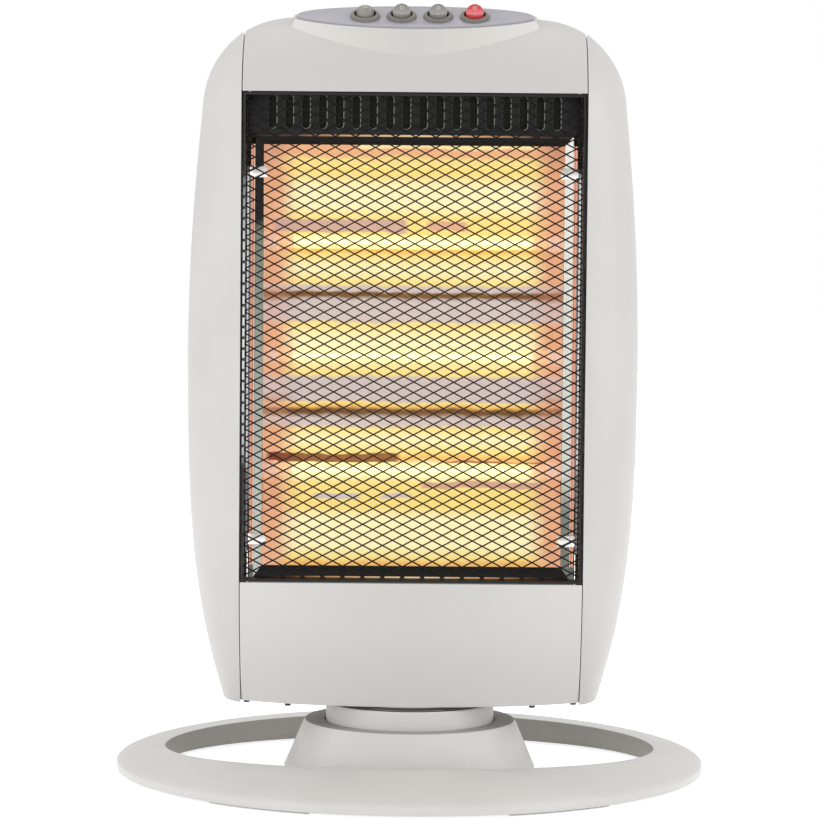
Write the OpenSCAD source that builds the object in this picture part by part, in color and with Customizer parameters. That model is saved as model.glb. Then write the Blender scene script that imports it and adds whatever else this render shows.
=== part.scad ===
// Halogen heater with three tubes on an oscillating turntable.
// Millimetres. +Z is up and the front faces -Y. The origin is the middle of
// the base on the surface that the heater stands on, on the swivel axis.

/* [Base] */
// Diameter of the round base
base_d = 422; // [414:1:430]
// Height of the base's inner crest above its skirt, at the middle
base_dome_h = 17; // [16.5:0.5:18]
// Width of the opening through the base ring
opening_w = 353; // [346:1:356]
// Depth of the opening through the base ring
opening_depth = 256; // [250:1:262]
// Diameter of the hub at its foot
hub_foot_d = 181; // [178:1:186]
// Diameter of the hub at its top
hub_top_d = 151; // [149:1:155]
// Height of the hub's top
hub_top_z = 35; // [34.5:0.5:36]

/* [Body] */
// Greatest width of the body, at mid-height
body_w = 324; // [320:1:328]
// Height of the body's bottom edge
body_bottom_z = 51; // [50.5:0.5:52]
// Radius of the body's upper corners, seen from the front
corner_r = 65.5; // [65:0.5:66]
// Height at which the upper corners start
corner_z = 473.5; // [473:0.5:474]
// Distance of the body's front plane from the swivel axis
body_front = 57; // [56:0.5:58]
// Distance of the body's back plane from the swivel axis
body_back = 60; // [59:0.5:61]
// Distance of the seams beside the grille from the middle
seam_x = 121; // [120.5:0.5:121.5]
// Wall thickness of the body mouldings
wall = 2.4; // [2.2:0.1:2.6]

/* [Grille] */
// Height of the grille's bottom edge
grille_low = 139.5; // [139:0.5:140]
// Height of the grille's top edge
grille_high = 484; // [483.5:0.5:484.5]
// Width of one mesh diamond
diamond_w = 14.06; // [14:0.02:14.4]
// Height of one mesh diamond
diamond_h = 7.46; // [7.4:0.02:7.7]
// Width and thickness of a mesh strand
strand = 1; // [0.9:0.1:1]

/* [Heating] */
// Heights of the three tubes
tube_heights = [217.2, 298.2, 379.2];
// Diameter of a quartz tube
tube_d = 10; // [9:0.5:10.5]
// Distance of the tubes in front of the swivel axis
tube_front = 24; // [23:0.5:25]
// Radius of one reflector trough
trough_r = 58.6; // [58:0.2:60]

/* [Controls] */
// Slope of the control panel, in degrees
panel_tilt = 28; // [27:0.5:29]
// Half the length of the lens-shaped control panel
lens_half = 87; // [86:0.5:88]
// Half the depth of the control panel, along its slope
lens_depth = 17.5; // [17.4:0.1:17.8]
// Distance between neighbouring switches
switch_pitch = 25.8; // [25.4:0.1:26]
// Distance of the row of switches from the middle
switch_shift = 3; // [2:0.5:4]
// Travel of a rocker, in degrees
rocker_travel = 30; // [24:1:30]

/* [Mechanism] */
// Crank radius of the oscillating drive
crank_r = 12; // [11.5:0.1:12.2]
// Distance of the motor shaft from the swivel axis
motor_offset = 20.9; // [20.7:0.1:21.2]

/* [Hidden] */
$fn = 64;

plastic = [0.80, 0.80, 0.79];
black_steel = [0.10, 0.10, 0.10];
bright_steel = [0.75, 0.75, 0.76];
running_gap = 0.05;
face_gap = 0.2;

// ---------- shared shapes ----------

// Joins a list of rows of points into one list of points
function flat(rows) = [for (row = rows) for (p = row) p];

// Two triangles for the four-sided cell a, b, c, d
function cell(a, b, c, d) = [[a, b, c], [a, c, d]];

// Triangles over a grid of points, rows by columns, whose first point has the index start; the
// diagonals of the right half mirror those of the left
function grid_cells(rows, cols, start) =
  [for (i = [0:rows - 2], j = [0:cols - 2])
    let (a = start + i * cols + j)
    each 2 * j < cols - 1 ? cell(a, a + 1, a + cols + 1, a + cols) : cell(a + 1, a + cols + 1, a + cols, a)];

function reversed(faces) = [for (f = faces) [f[2], f[1], f[0]]];

// A closed shell between an outer and an inner grid of points with the same layout
module skin(outer, inner) {
  rows = len(outer);
  cols = len(outer[0]);
  n = rows * cols;
  low_rim = [for (j = [0:cols - 2]) each cell(j, n + j, n + j + 1, j + 1)];
  top = (rows - 1) * cols;
  high_rim = [for (j = [0:cols - 2]) each cell(top + j, top + j + 1, n + top + j + 1, n + top + j)];
  first_rim = [for (i = [0:rows - 2]) each cell(i * cols, (i + 1) * cols, n + (i + 1) * cols, n + i * cols)];
  last_rim = [for (i = [0:rows - 2]) let (a = (i + 1) * cols - 1, b = a + cols)
    each cell(a, n + a, n + b, b)];
  polyhedron(
    points = concat(flat(outer), flat(inner)),
    faces = concat(grid_cells(rows, cols, 0), reversed(grid_cells(rows, cols, n)),
      low_rim, high_rim, first_rim, last_rim));
}

// A box given by its low and high corners
module block(low, high) {
  translate(low) cube(high - low);
}

module tube(outer_r, inner_r, low, high) {
  translate([0, 0, low]) difference() {
    cylinder(r = outer_r, h = high - low);
    translate([0, 0, -1]) cylinder(r = inner_r, h = high - low + 2);
  }
}

// A low-head cross-slotted screw along +Z whose head's underside is at the origin
module screw(head_d, shank_d, length) {
  head_h = head_d * 0.2;
  difference() {
    union() {
      cylinder(d = head_d, h = head_h, $fn = 24);
      translate([0, 0, -length]) cylinder(d = shank_d, h = length + 0.1, $fn = 24);
    }
    for (turn = [0, 90]) rotate(turn)
      translate([0, 0, head_h]) cube([head_d * 0.6, head_d * 0.14, head_h], center = true);
  }
}

// Upright slot with round ends, made of a rectangle and two circles
module round_slot(w, h) {
  square([w, h - w], center = true);
  for (side = [-1, 1]) translate([0, side * (h - w) / 2]) circle(d = w, $fn = 24);
}

// ---------- the base ----------

skirt_z = 1.7;
skirt_edge_h = 5;
base_wall = 2.6;
plate_thick = 1.5;
hub_wall = 2.5;
bridge_half_w = 52;
bridge_top = 10;
floor_top = 4.4;
boss_top = 13.7;
boss_r = 4;
pad_count = 6;
pad_w = 12;
pad_span = 22;
hub_screw_r = 76;
hub_screw_angles = [20, 160, 200, 340];
base_screw_r = base_d / 2 - 16;
base_screw_angles = [30:60:330];
screw_hole_d = 3.2;
bearing_r = 64;
bearing_top = 24;

// Height of the base's outer surface at the radius r, less the thickness t
function dome_z(r, t) =
  let (edge = base_d / 2 - t, rise = base_dome_h + 2 - skirt_edge_h)
  skirt_z + skirt_edge_h - t + rise * pow(max(0, 1 - pow(r / edge, 3.4)), 0.62);

dome_fractions = [0, 0.55, 0.65, 0.75, 0.83, 0.89, 0.93, 0.96, 0.98, 0.993, 1];

module ellipse_prism(half_w, half_depth, low, high) {
  translate([0, 0, low]) linear_extrude(high - low)
    polygon([for (a = [0:5:355]) [half_w * cos(a), half_depth * sin(a)]]);
}

// The solid base dome with its opening, drawn in by the thickness t
module base_form(t, low) {
  edge = base_d / 2 - t;
  difference() {
    rotate_extrude($fn = 96) polygon(concat(
      [for (f = dome_fractions) [f * edge, dome_z(f * edge, t)]],
      [[edge, low], [0, low]]));
    ellipse_prism(opening_w / 2 + t, opening_depth / 2 + t, low - 1, base_dome_h + 10);
  }
}

// Domed ring, the bridge across its opening and the seat of the swivel bearing, in one moulding
module base_ring() color(plastic) {
  bridge_end = opening_depth / 2 + base_wall + 1;
  plate_top = skirt_z + plate_thick;
  inside_r = hub_foot_d / 2 - hub_wall - 2;
  difference() {
    union() {
      difference() {
        base_form(0, skirt_z);
        base_form(base_wall, skirt_z - 1);
      }
      difference() {
        block([-bridge_half_w, -bridge_end, skirt_z], [bridge_half_w, bridge_end, bridge_top]);
        translate([0, 0, floor_top]) cylinder(r = inside_r, h = bridge_top);
      }
      translate([0, 0, skirt_z]) cylinder(r = inside_r + 0.5, h = floor_top - skirt_z);
      tube(bearing_r + 4, bearing_r, skirt_z, bearing_top);
      for (a = hub_screw_angles) rotate(a)
        translate([hub_screw_r, 0, skirt_z]) cylinder(r = boss_r, h = boss_top - skirt_z);
      for (a = base_screw_angles) rotate(a)
        translate([base_screw_r, 0, plate_top + 0.1]) cylinder(r = boss_r, h = 7);
    }
    translate([plunger_x, 0, 0]) cylinder(d = plunger_d + 0.6, h = floor_top + 1);
    for (a = hub_screw_angles) rotate(a)
      translate([hub_screw_r, 0, 0]) cylinder(d = screw_hole_d, h = boss_top + 1);
    for (a = base_screw_angles) rotate(a)
      translate([base_screw_r, 0, 0]) cylinder(d = screw_hole_d, h = 9);
  }
}

// Steel plate that closes the ring from below and gives the base its weight
module base_plate() color(bright_steel) {
  inset = base_wall + face_gap;
  difference() {
    translate([0, 0, skirt_z]) cylinder(r = base_d / 2 - inset, h = plate_thick, $fn = 96);
    ellipse_prism(opening_w / 2 + inset, opening_depth / 2 + inset, 0, 10);
    block([-bridge_half_w - 1, -opening_depth / 2 - 6, 0],
      [bridge_half_w + 1, opening_depth / 2 + 6, bridge_top]);
    for (a = base_screw_angles) rotate(a) translate([base_screw_r, 0, 0]) cylinder(d = 3.6, h = 10);
  }
}

// Soft feet round the rim, bonded under the plate
module foot_pads() color([0.7, 0.7, 0.68])
  for (i = [0:pad_count - 1]) rotate(i * 360 / pad_count)
    rotate(-pad_span / 2) rotate_extrude(angle = pad_span, $fn = 96)
      translate([base_d / 2 - pad_w - 4, 0]) square([pad_w, skirt_z]);

module base_screws() color(bright_steel)
  for (a = base_screw_angles) rotate(a) translate([base_screw_r, 0, skirt_z])
    mirror([0, 0, 1]) screw(6, 3, 5);

// Conical cover over the bearing, with an arch at the front and the back for the bridge
module hub_cover() color(plastic) {
  foot_r = hub_foot_d / 2;
  top_r = hub_top_d / 2;
  difference() {
    rotate_extrude($fn = 96) polygon([
      [foot_r, skirt_z], [top_r + 1, hub_top_z - 1.2], [top_r, hub_top_z], [turn_r + 1.3, hub_top_z],
      [turn_r + 1.3, hub_top_z - hub_wall], [top_r - hub_wall, hub_top_z - hub_wall],
      [foot_r - hub_wall, skirt_z]]);
    block([-bridge_half_w - 0.3, -foot_r - 5, 0], [bridge_half_w + 0.3, foot_r + 5, bridge_top + 0.1]);
  }
  for (a = hub_screw_angles) rotate(a) translate([hub_screw_r, 0, 0])
    tube(boss_r - 0.4, screw_hole_d / 2, boss_top + face_gap, 25);
}

module hub_screws() color(bright_steel)
  for (a = hub_screw_angles) rotate(a) translate([hub_screw_r, 0, skirt_z])
    mirror([0, 0, 1]) screw(6, 3, 20);

// ---------- the swivel drive ----------

turn_r = 60.5;
turn_wall = 8;
turn_screw_r = turn_r - 5.5;
turn_screw_angles = [45:90:315];
flange_low = bearing_top + 2 + running_gap;
flange_high = flange_low + 4;
turn_top = body_bottom_z - 2;
guide_low = 36;
guide_high = 39;
crank_low = 43;
crank_high = 46;
pin_r = 2.5;

module slide_ring() color("white")
  tube(bearing_r + 3.5, bearing_r + 0.5, bearing_top, bearing_top + 2);

// Turntable that carries the body: it rests on the slide ring and its flange stays under the hub's deck
module turntable() color(plastic)
  difference() {
    rotate_extrude($fn = 96) polygon([
      [turn_r - turn_wall, flange_low], [bearing_r + 6, flange_low], [bearing_r + 6, flange_high],
      [turn_r, flange_high], [turn_r, turn_top - 1.5], [turn_r - 1.5, turn_top],
      [turn_r - 3, turn_top], [turn_r - 3, body_bottom_z], [turn_r - turn_wall, body_bottom_z]]);
    for (a = turn_screw_angles) rotate(a)
      translate([turn_screw_r, 0, body_bottom_z - 10]) cylinder(d = 2.4, h = 20, $fn = 24);
  }

module turntable_screws() color(bright_steel)
  for (a = turn_screw_angles) rotate(a) translate([turn_screw_r, 0, tray_top]) screw(6, 2.4, 10);

// Fixed arm on the base, with the slot that the crank pin runs in
module crank_guide() color([0.85, 0.85, 0.8]) {
  slot_half = pin_r + 2.7;
  near = motor_offset - crank_r + 3;
  far = motor_offset + crank_r + pin_r + 2;
  difference() {
    union() {
      translate([0, 0, floor_top]) cylinder(r1 = 14, r2 = 9, h = guide_low - floor_top);
      translate([0, 0, guide_low]) linear_extrude(guide_high - guide_low) union() {
        circle(r = 9);
        translate([-slot_half - 4, -far - 4]) square([2 * slot_half + 8, far]);
      }
    }
    translate([-slot_half, -far, guide_low - 1]) cube([2 * slot_half, far - near, 20]);
    translate([0, 0, -1]) cylinder(r = 3, h = 60);
  }
}

module swing_motor() color(bright_steel) {
  translate([0, -motor_offset, 0]) difference() {
    union() {
      translate([0, 0, tray_top + 0.01]) cylinder(d = 49, h = 16);
      translate([0, 0, tray_top + 16]) cylinder(d = 44, h = 3);
    }
    translate([0, 0, tray_top - 1]) cylinder(r = 3 + running_gap, h = 9);
  }
  translate([-29, -motor_offset - 4, tray_top + 14]) cube([58, 8, 1.6]);
  for (side = [-1, 1]) translate([side * 27, -motor_offset, tray_top]) cylinder(d = 7, h = 14);
}

// Disc, shaft and pin of the crank, in one piece
module motor_crank() color([0.85, 0.85, 0.8])
  translate([0, -motor_offset, 0]) {
    translate([0, 0, crank_low]) cylinder(r = crank_r + pin_r + 1.5, h = crank_high - crank_low);
    translate([0, 0, crank_high - 0.1]) cylinder(r = 3, h = tray_top + 6 - crank_high);
    translate([0, -crank_r, guide_low - 1.5]) cylinder(r = pin_r, h = crank_low - guide_low + 1.6);
  }

plunger_x = 36;
plunger_d = 8;

// Tip-over switch: the plunger is pushed in by the surface that the heater stands on
module tip_switch() color([0.15, 0.15, 0.17])
  difference() {
    union() {
      block([plunger_x - 9, -14, floor_top], [plunger_x + 9, 14, 22]);
      block([plunger_x - 6, -19, floor_top], [plunger_x + 6, 19, 6.4]);
    }
    translate([plunger_x, 0, 0]) cylinder(d = plunger_d + 2 * running_gap, h = 19);
  }

module tip_plunger() color("white")
  translate([plunger_x, 0, 0]) {
    cylinder(d1 = 6, d2 = plunger_d, h = 1.2);
    translate([0, 0, 1.2]) cylinder(d = plunger_d, h = 16.2);
  }

// ---------- the body's surface ----------

seam_gap = 0.6;
crest_y = -2;
widest_z = 298;
foot_draw = 25.8;
side_foot_z = body_bottom_z - 1.5;
shoulder_draw = 10;
corner_cx = body_w / 2 - shoulder_draw - corner_r;

// Half the body's width at the height z, below the corners
function half_width(z) = body_w / 2
  - (z < widest_z ? foot_draw * pow((widest_z - z) / (widest_z - body_bottom_z), 3)
    : shoulder_draw * pow((z - widest_z) / (corner_z - widest_z), 1.9));

// Point of the front outline: v 0 to 1 climbs the side, v 1 to 2 goes round the corner, t is inset
function outline_point(v, t) = v <= 1
  ? let (z = side_foot_z + v * (corner_z - side_foot_z)) [half_width(z) - t, z]
  : let (a = (v - 1) * corner_end_angle)
    [corner_cx + (corner_r - t) * cos(a), corner_z + (corner_r - t) * sin(a)];

corner_end_angle = acos((seam_x + 3 - corner_cx) / corner_r);
seam_top = corner_z + sqrt(pow(corner_r, 2) - pow(seam_x - corner_cx, 2));

// How far the depth has closed in on the crest at the height z above the corners' start
function closing(z, top) = sqrt(max(0, 1 - pow(max(0, z - corner_z) / (top - corner_z), 2)));

function seam_front(z) =
  z < grille_low ? -body_front + 30 * pow((grille_low - z) / (grille_low - body_bottom_z), 1.5)
  : crest_y - (body_front + crest_y) * closing(z, seam_top);

function seam_back(z) =
  z < 160 ? body_back - 3 * pow((160 - z) / (160 - body_bottom_z), 2)
  : crest_y + (body_back - crest_y) * closing(z, seam_top);

side_turn = 68;
side_cols = 14;
side_levels = concat([for (i = [0:12]) i / 12], [for (i = [1:6]) 1 + i / 6]);

function side_row(v, t) =
  let (p = outline_point(v, t), z = p[1], x0 = seam_x + seam_gap / 2,
       front = seam_front(z) + t, back = seam_back(z) - t,
       mid = (front + back) / 2, half = (back - front) / 2, reach = p[0] - x0)
  [for (j = [0:side_cols])
    let (turn = side_turn * (2 * j / side_cols - 1))
    [x0 + reach * (cos(turn) - cos(side_turn)) / (1 - cos(side_turn)),
     mid + half * sin(turn) / sin(side_turn), z]];

module side_panel() {
  skin([for (v = side_levels) side_row(v, 0)], [for (v = side_levels) side_row(v, wall)]);
}

module side_panel_right() color(plastic) side_panel();

module side_panel_left() color(plastic) mirror([1, 0, 0]) side_panel();

// ---------- front panels ----------

panel_half = seam_x - seam_gap / 2;
lower_cols = [for (i = [-7:7]) panel_half * i / 7];
crease_drop = 12;

// Depth of the body's bottom edge at x: part of an ellipse
function bottom_front(x) = -(body_front - 2) * sqrt(1 - pow(x / half_width(body_bottom_z), 2));

function lower_point(x, f, t) =
  let (crease = grille_low - 4 - crease_drop * (1 - pow(x / panel_half, 2)),
       z = crease + (body_bottom_z - crease) * f,
       bulge = 1.6 * sin(180 * min(1, f * 1.4)) * (1 - pow(x / panel_half, 4)))
  [x, -body_front + t + (body_front + bottom_front(x)) * (0.25 * f + 0.75 * f * f) - bulge, z];

function lower_row(f, t) = [for (x = lower_cols) lower_point(x, f, t)];

lower_steps = [1, 0.8, 0.6, 0.45, 0.3, 0.18, 0.08, 0];

module front_lower_panel() color(plastic) {
  top_row = [for (x = lower_cols) [x, -body_front, grille_low - seam_gap / 2]];
  top_inner = [for (x = lower_cols) [x, -body_front + wall, grille_low - seam_gap / 2]];
  skin(concat([for (f = lower_steps) lower_row(f, 0)], [top_row]),
       concat([for (f = lower_steps) lower_row(f, wall)], [top_inner]));
}

// ---------- upper housing with the control pod ----------

function crest_z(x, t) = corner_z + (abs(x) < corner_cx ? corner_r - t
  : sqrt(pow(corner_r - t, 2) - pow(abs(x) - corner_cx, 2)));

// Point on the dome at the polar angle a: 0 is the front, 90 the crest, 180 the back
function dome_point(x, a, t) =
  let (depth = (a < 90 ? body_front + crest_y : body_back - crest_y) - t)
  [x, crest_y - depth * cos(a), corner_z + (crest_z(x, t) - corner_z) * sin(a)];

// Polar angle at which the dome reaches the height z at x, on the front side
function dome_angle(x, z, t) = asin((z - corner_z) / (crest_z(x, t) - corner_z));

lens_y = -28;
lens_z = corner_z + corner_r - 0.5;
plate_t = 1.6;
brow_lean = tan(15);
tip_angle = acos((crest_y - lens_y) / (body_front + crest_y));
tip_spread = 1.2;
rear_angle = 115;

// How open the pod is at x: 1 in the middle and 0 at its tips, the blunter the lower the exponent
function open_at(x, half, exponent) = pow(max(0, 1 - pow(x / half, 2)), exponent);

// Distance of a lens-shaped edge from the line through its tips, towards the front (-1) or the back (1)
function lens_run(x, side, half, depth) =
  side < 0 ? -depth * open_at(x, half, 0.7) : 1.07 * depth * open_at(x, half, 0.4);

// Edge of the pod's lens-shaped flat at x, under the control panel and drawn in by the thickness t
function lens_edge(x, side, t) =
  let (full = lens_run(x, side, lens_half, lens_depth), run = side * max(0.15, abs(full) - t),
       drop = plate_t + t)
  [x, lens_y + run * cos(panel_tilt) + drop * sin(panel_tilt),
   lens_z + run * sin(panel_tilt) - drop * cos(panel_tilt)];

// Polar angle at which the pod's front wall, leaning out from the flat's edge, comes down on the dome
function brow_angle(x, t) =
  let (edge = lens_edge(x, -1, t), depth = body_front + crest_y - t, height = crest_z(x, t) - corner_z,
       u = edge[1] - crest_y, w = edge[2] - corner_z,
       a = pow(brow_lean / depth, 2) + pow(1 / height, 2),
       b = u * brow_lean / pow(depth, 2) + w / pow(height, 2),
       c = pow(u / depth, 2) + pow(w / height, 2) - 1,
       fall = (b - sqrt(b * b - a * c)) / a)
  asin((w - fall) / height);

dome_rows = 4;
rear_rows = 8;

// Row k of the housing: up the dome to the pod's wall, over the pod's flat, and down the back
function housing_row(k, t) =
  [for (x = housing_cols)
    let (in_pod = abs(x) < lens_half,
         low = dome_angle(x, grille_high + seam_gap / 2, t),
         brow = in_pod ? brow_angle(x, t) : tip_angle - 2 * tip_spread,
         back = tip_angle + 3 * tip_spread,
         rear = back + (rear_angle - back) * open_at(x, lens_half, 0.42),
         end = 180 - dome_angle(x, back_top_z + seam_gap / 2, t))
    k <= dome_rows ? dome_point(x, low + (brow - low) * k / dome_rows, t)
    : k == dome_rows + 1 ? (in_pod ? lens_edge(x, -1, t) : dome_point(x, tip_angle, t))
    : k == dome_rows + 2 ? (in_pod ? lens_edge(x, 1, t) : dome_point(x, tip_angle + tip_spread, t))
    : dome_point(x, rear + (end - rear) * (k - dome_rows - 3) / rear_rows, t)];

pod_cols = [for (a = [-81:13.5:81]) lens_half * sin(a)];
shoulder = [lens_half + 0.6, lens_half + 9, lens_half + 18, lens_half + 26, panel_half];
housing_cols = concat([for (i = [4:-1:0]) -shoulder[i]], pod_cols, shoulder);
back_top_z = corner_z + 21;

module upper_housing() color(plastic)
  difference() {
    last = dome_rows + rear_rows + 3;
    skin([for (k = [0:last]) housing_row(k, 0)], [for (k = [0:last]) housing_row(k, wall)]);
    for (i = [0:3]) at_switch(i) translate([0, 0, -20]) cylinder(r = case_r + 0.2, h = 40);
  }

// Puts its children in the plane of the control panel, +Y up the slope and +Z out of it
module on_panel() translate([0, lens_y, lens_z]) rotate([panel_tilt, 0, 0]) children();

module at_switch(i) on_panel()
  translate([switch_shift + (i - 1.5) * switch_pitch, 0, 0]) children();

module control_panel() color([0.72, 0.72, 0.77])
  difference() {
    on_panel() translate([0, 0, -plate_t]) linear_extrude(plate_t) {
      half = lens_half - 3;
      depth = lens_depth - 1;
      polygon([for (side = [-1, 1], a = [-90:7.5:82.5])
        let (x = -side * half * sin(a)) [x, lens_run(x, side, half, depth)]]);
    }
    for (i = [0:3]) at_switch(i) translate([0, 0, -20]) cylinder(r = case_r + 0.1, h = 40);
  }

// ---------- switches ----------

case_r = 9.8;
case_bore_r = 7.8;
bezel_r = 10.5;
rocker_r = 6.3;
pivot_drop = 1.3;
pivot_pin_r = 1;

module switch_cases() color([0.2, 0.2, 0.2])
  for (i = [0:3]) at_switch(i) difference() {
    union() {
      translate([0, 0, -18]) cylinder(r = case_r, h = 18);
      for (x = [-3.5, 3.5]) translate([x - 0.4, -3, -25]) cube([0.8, 6, 8]);
    }
    translate([0, 0, -12]) cylinder(r = case_bore_r, h = 20);
    translate([-9, 0, -pivot_drop]) rotate([0, 90, 0])
      cylinder(r = pivot_pin_r + running_gap, h = 18, $fn = 24);
  }

module switch_bezels() color([0.49, 0.47, 0.44])
  for (i = [0:3]) at_switch(i) rotate_extrude() polygon([
    [case_bore_r, 0], [bezel_r, 0], [bezel_r, 0.8], [bezel_r - 1.1, 2], [case_bore_r + 0.5, 2.4],
    [case_bore_r, 2.2]]);

// Rocker with a dished two-way top, turned about its pivot pins
module rocker(i, turn)
  at_switch(i) translate([0, 0, -pivot_drop]) rotate([turn, 0, 0]) {
    lip = 8.15;
    low = 4;
    dish_r = 12;
    dish_z = lip + sqrt(pow(dish_r, 2) - pow(rocker_r, 2));
    difference() {
      translate([0, 0, -low]) cylinder(r = rocker_r, h = low + lip + 1);
      translate([0, 0, dish_z]) rotate([0, 90, 0]) cylinder(r = dish_r, h = 40, center = true);
      translate([-20, -20, lip]) cube([40, 40, 10]);
    }
    rotate([0, 90, 0]) cylinder(r = pivot_pin_r, h = 17.4, center = true, $fn = 24);
  }

module rocker_swing() color([0.55, 0.54, 0.52]) rocker(0, -rocker_travel / 2);

module rocker_tube_1() color([0.55, 0.54, 0.52]) rocker(1, rocker_travel / 2);

module rocker_tube_2() color([0.55, 0.54, 0.52]) rocker(2, rocker_travel / 2);

module rocker_power() color([0.78, 0.2, 0.26]) rocker(3, rocker_travel / 2);

// ---------- floor of the body, back cover and chassis ----------

tray_top = body_bottom_z + 3;

// Outline of the body's floor, drawn in by the thickness t
function floor_outline(t) =
  let (side = [for (p = side_row(0, t)) [p[0], p[1]]],
       last = len(side) - 1)
  concat([for (x = lower_cols) [x, bottom_front(x) + t]], side,
    [for (i = [last:-1:0]) [-side[i][0], side[i][1]]]);

lug_places = [[-117, -20], [-87, -36], [87, -36], [117, -20]];

// Floor of the body, with small locating lugs that show under its front edge
module body_tray() color(plastic)
  difference() {
    union() {
      translate([0, 0, body_bottom_z]) linear_extrude(tray_top - body_bottom_z)
        polygon(floor_outline(wall + face_gap));
      for (p = lug_places) translate([p[0], p[1], body_bottom_z - 2]) cylinder(r = 2.2, h = 3);
    }
    translate([0, -motor_offset, 0]) cylinder(r = 4.5, h = 100);
    for (a = turn_screw_angles) rotate(a)
      translate([turn_screw_r, 0, 0]) cylinder(d = 2.8, h = 100, $fn = 24);
  }

cover_levels = [body_bottom_z, 70, 88, 110, 135, 160, corner_z, corner_z + 6, corner_z + 12, corner_z + 17,
  back_top_z - seam_gap / 2];
grip_low = 420;
grip_high = 458;
grip_half = 52;
grip_depth = 24;
gland_z = 85;
gland_flange_r = 11;
gland_face = seam_back(gland_z + gland_flange_r) + 0.2;
back_screw_x = 105;
back_screw_heights = [120, 452];

// Side profile of the cover's wall
module cover_profile() {
  outer = [for (z = cover_levels) [seam_back(z), z]];
  inner = [for (i = [len(cover_levels) - 1:-1:0]) [seam_back(cover_levels[i]) - wall, cover_levels[i]]];
  polygon(concat(outer, inner));
}

module back_cover() color(plastic)
  difference() {
    union() {
      translate([-panel_half, 0, 0]) rotate([90, 0, 90]) linear_extrude(2 * panel_half) cover_profile();
      block([-grip_half - wall, body_back - grip_depth - wall, grip_low - wall],
        [grip_half + wall, body_back - wall / 2, grip_high + wall]);
      translate([0, gland_face - 4, gland_z]) rotate([-90, 0, 0]) cylinder(r = gland_flange_r + 1.5, h = 4);
    }
    block([-grip_half, body_back - grip_depth, grip_low], [grip_half, body_back + 10, grip_high]);
    for (z = [185, 320], i = [-9:9]) translate([i * 10 - 2, 30, z]) cube([4, 60, 70]);
    translate([0, 30, gland_z]) rotate([-90, 0, 0]) cylinder(r = 8.1, h = 60);
    for (side = [-1, 1], z = back_screw_heights)
      translate([side * back_screw_x, 30, z]) rotate([-90, 0, 0]) cylinder(d = screw_hole_d, h = 60);
  }

module back_screws() color(bright_steel)
  for (side = [-1, 1], z = back_screw_heights)
    translate([side * back_screw_x, seam_back(z), z]) rotate([-90, 0, 0]) screw(7, 3, 12);

module cable_gland() color([0.2, 0.2, 0.2])
  translate([0, gland_face + running_gap, gland_z]) rotate([-90, 0, 0]) difference() {
    union() {
      cylinder(r = gland_flange_r, h = 3);
      translate([0, 0, -10]) cylinder(r = 8, h = 10.1);
    }
    translate([0, 0, -11]) cylinder(r = 4, h = 20);
  }

// Steel back plate behind the reflector, folded forward at its sides, which have holes for the tubes'
// ends, and over the reflector to a heat shield behind the slots
module chassis() color(bright_steel) {
  half = 117.6;
  back = 12;
  shelf_z = inner_high + 6;
  shelf_y = frame_front + 14;
  block([-half, back, tray_top], [half, back + chassis_t, shelf_z + 0.1]);
  block([-half, shelf_y, shelf_z], [half, back + chassis_t, shelf_z + chassis_t]);
  block([-half, shelf_y, shelf_z], [half, shelf_y + chassis_t, grille_high - 2]);
  for (side = [0, 1]) mirror([side, 0, 0]) difference() {
    block([half - chassis_t, -40, grille_low + 20], [half, back + 0.1, inner_high + 12]);
    for (z = tube_heights) translate([half - 5, -tube_front, z]) rotate([0, 90, 0])
      cylinder(d = cap_d + 1.6, h = 10);
  }
}

// ---------- grille ----------

strand_angle = atan(diamond_h / diamond_w);
mesh_crossing = [0.75, 311.3];
mesh_half_w = seam_x - 2.6;
mesh_low = grille_low + 3;
mesh_high = grille_high - 3;

// One layer of parallel strands across the opening, rising to the right (1) or the left (-1)
module strands(lean) {
  mid_z = (mesh_low + mesh_high) / 2;
  half_h = (mesh_high - mesh_low) / 2;
  slope = lean * diamond_h / diamond_w;
  count = ceil((half_h + mesh_half_w * abs(slope)) / diamond_h);
  for (k = [-count:count]) {
    level = k * diamond_h + mesh_crossing[1] - mid_z - slope * mesh_crossing[0];
    at_floor = (-half_h - level) / slope;
    at_roof = (half_h - level) / slope;
    left = max(-mesh_half_w, min(at_floor, at_roof));
    right = min(mesh_half_w, max(at_floor, at_roof));
    if (right - left > 3)
      translate([(left + right) / 2, 0, mid_z + level + slope * (left + right) / 2])
        rotate([0, -lean * strand_angle, 0])
          cube([(right - left) / cos(strand_angle), strand, strand], center = true);
  }
}

module guard_mesh() color(black_steel) {
  translate([0, -body_front + 2, 0]) strands(1);
  translate([0, -body_front + 3.05, 0]) strands(-1);
}

module guard_frame() color(black_steel) {
  outer_half = seam_x - 1.2;
  difference() {
    block([-outer_half, -body_front + 0.3, grille_low + 0.3],
      [outer_half, -body_front + frame_depth, grille_high - 0.3]);
    block([-outer_half + 1.6, -body_front - 1, mesh_low - 0.6],
      [outer_half - 1.6, -body_front + frame_depth + 1, mesh_high + 0.6]);
  }
}

clip_x = 109;
clip_heights = [169.6, 428];

module guard_clips() color(bright_steel)
  for (side = [0, 1], z = clip_heights) mirror([side, 0, 0]) translate([clip_x, -body_front, z]) {
    block([-6.3, 3.8, -4], [6.3, 4.6, 4]);
    block([2, 4.6, -4], [2.8, frame_depth, 4]);
  }

frame_depth = 12;
frame_front = -body_front + frame_depth;
frame_t = 1;
frame_slope = 4;
top_bar = 7;
low_bar = 8;
side_bar = 6;
inner_low = 149.8;
inner_high = 447.7;
inner_half = 106;
slot_count = 18;
slot_pitch = 11.75;
slot_z = 470.5;
slot_h = 23.2;

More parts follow.
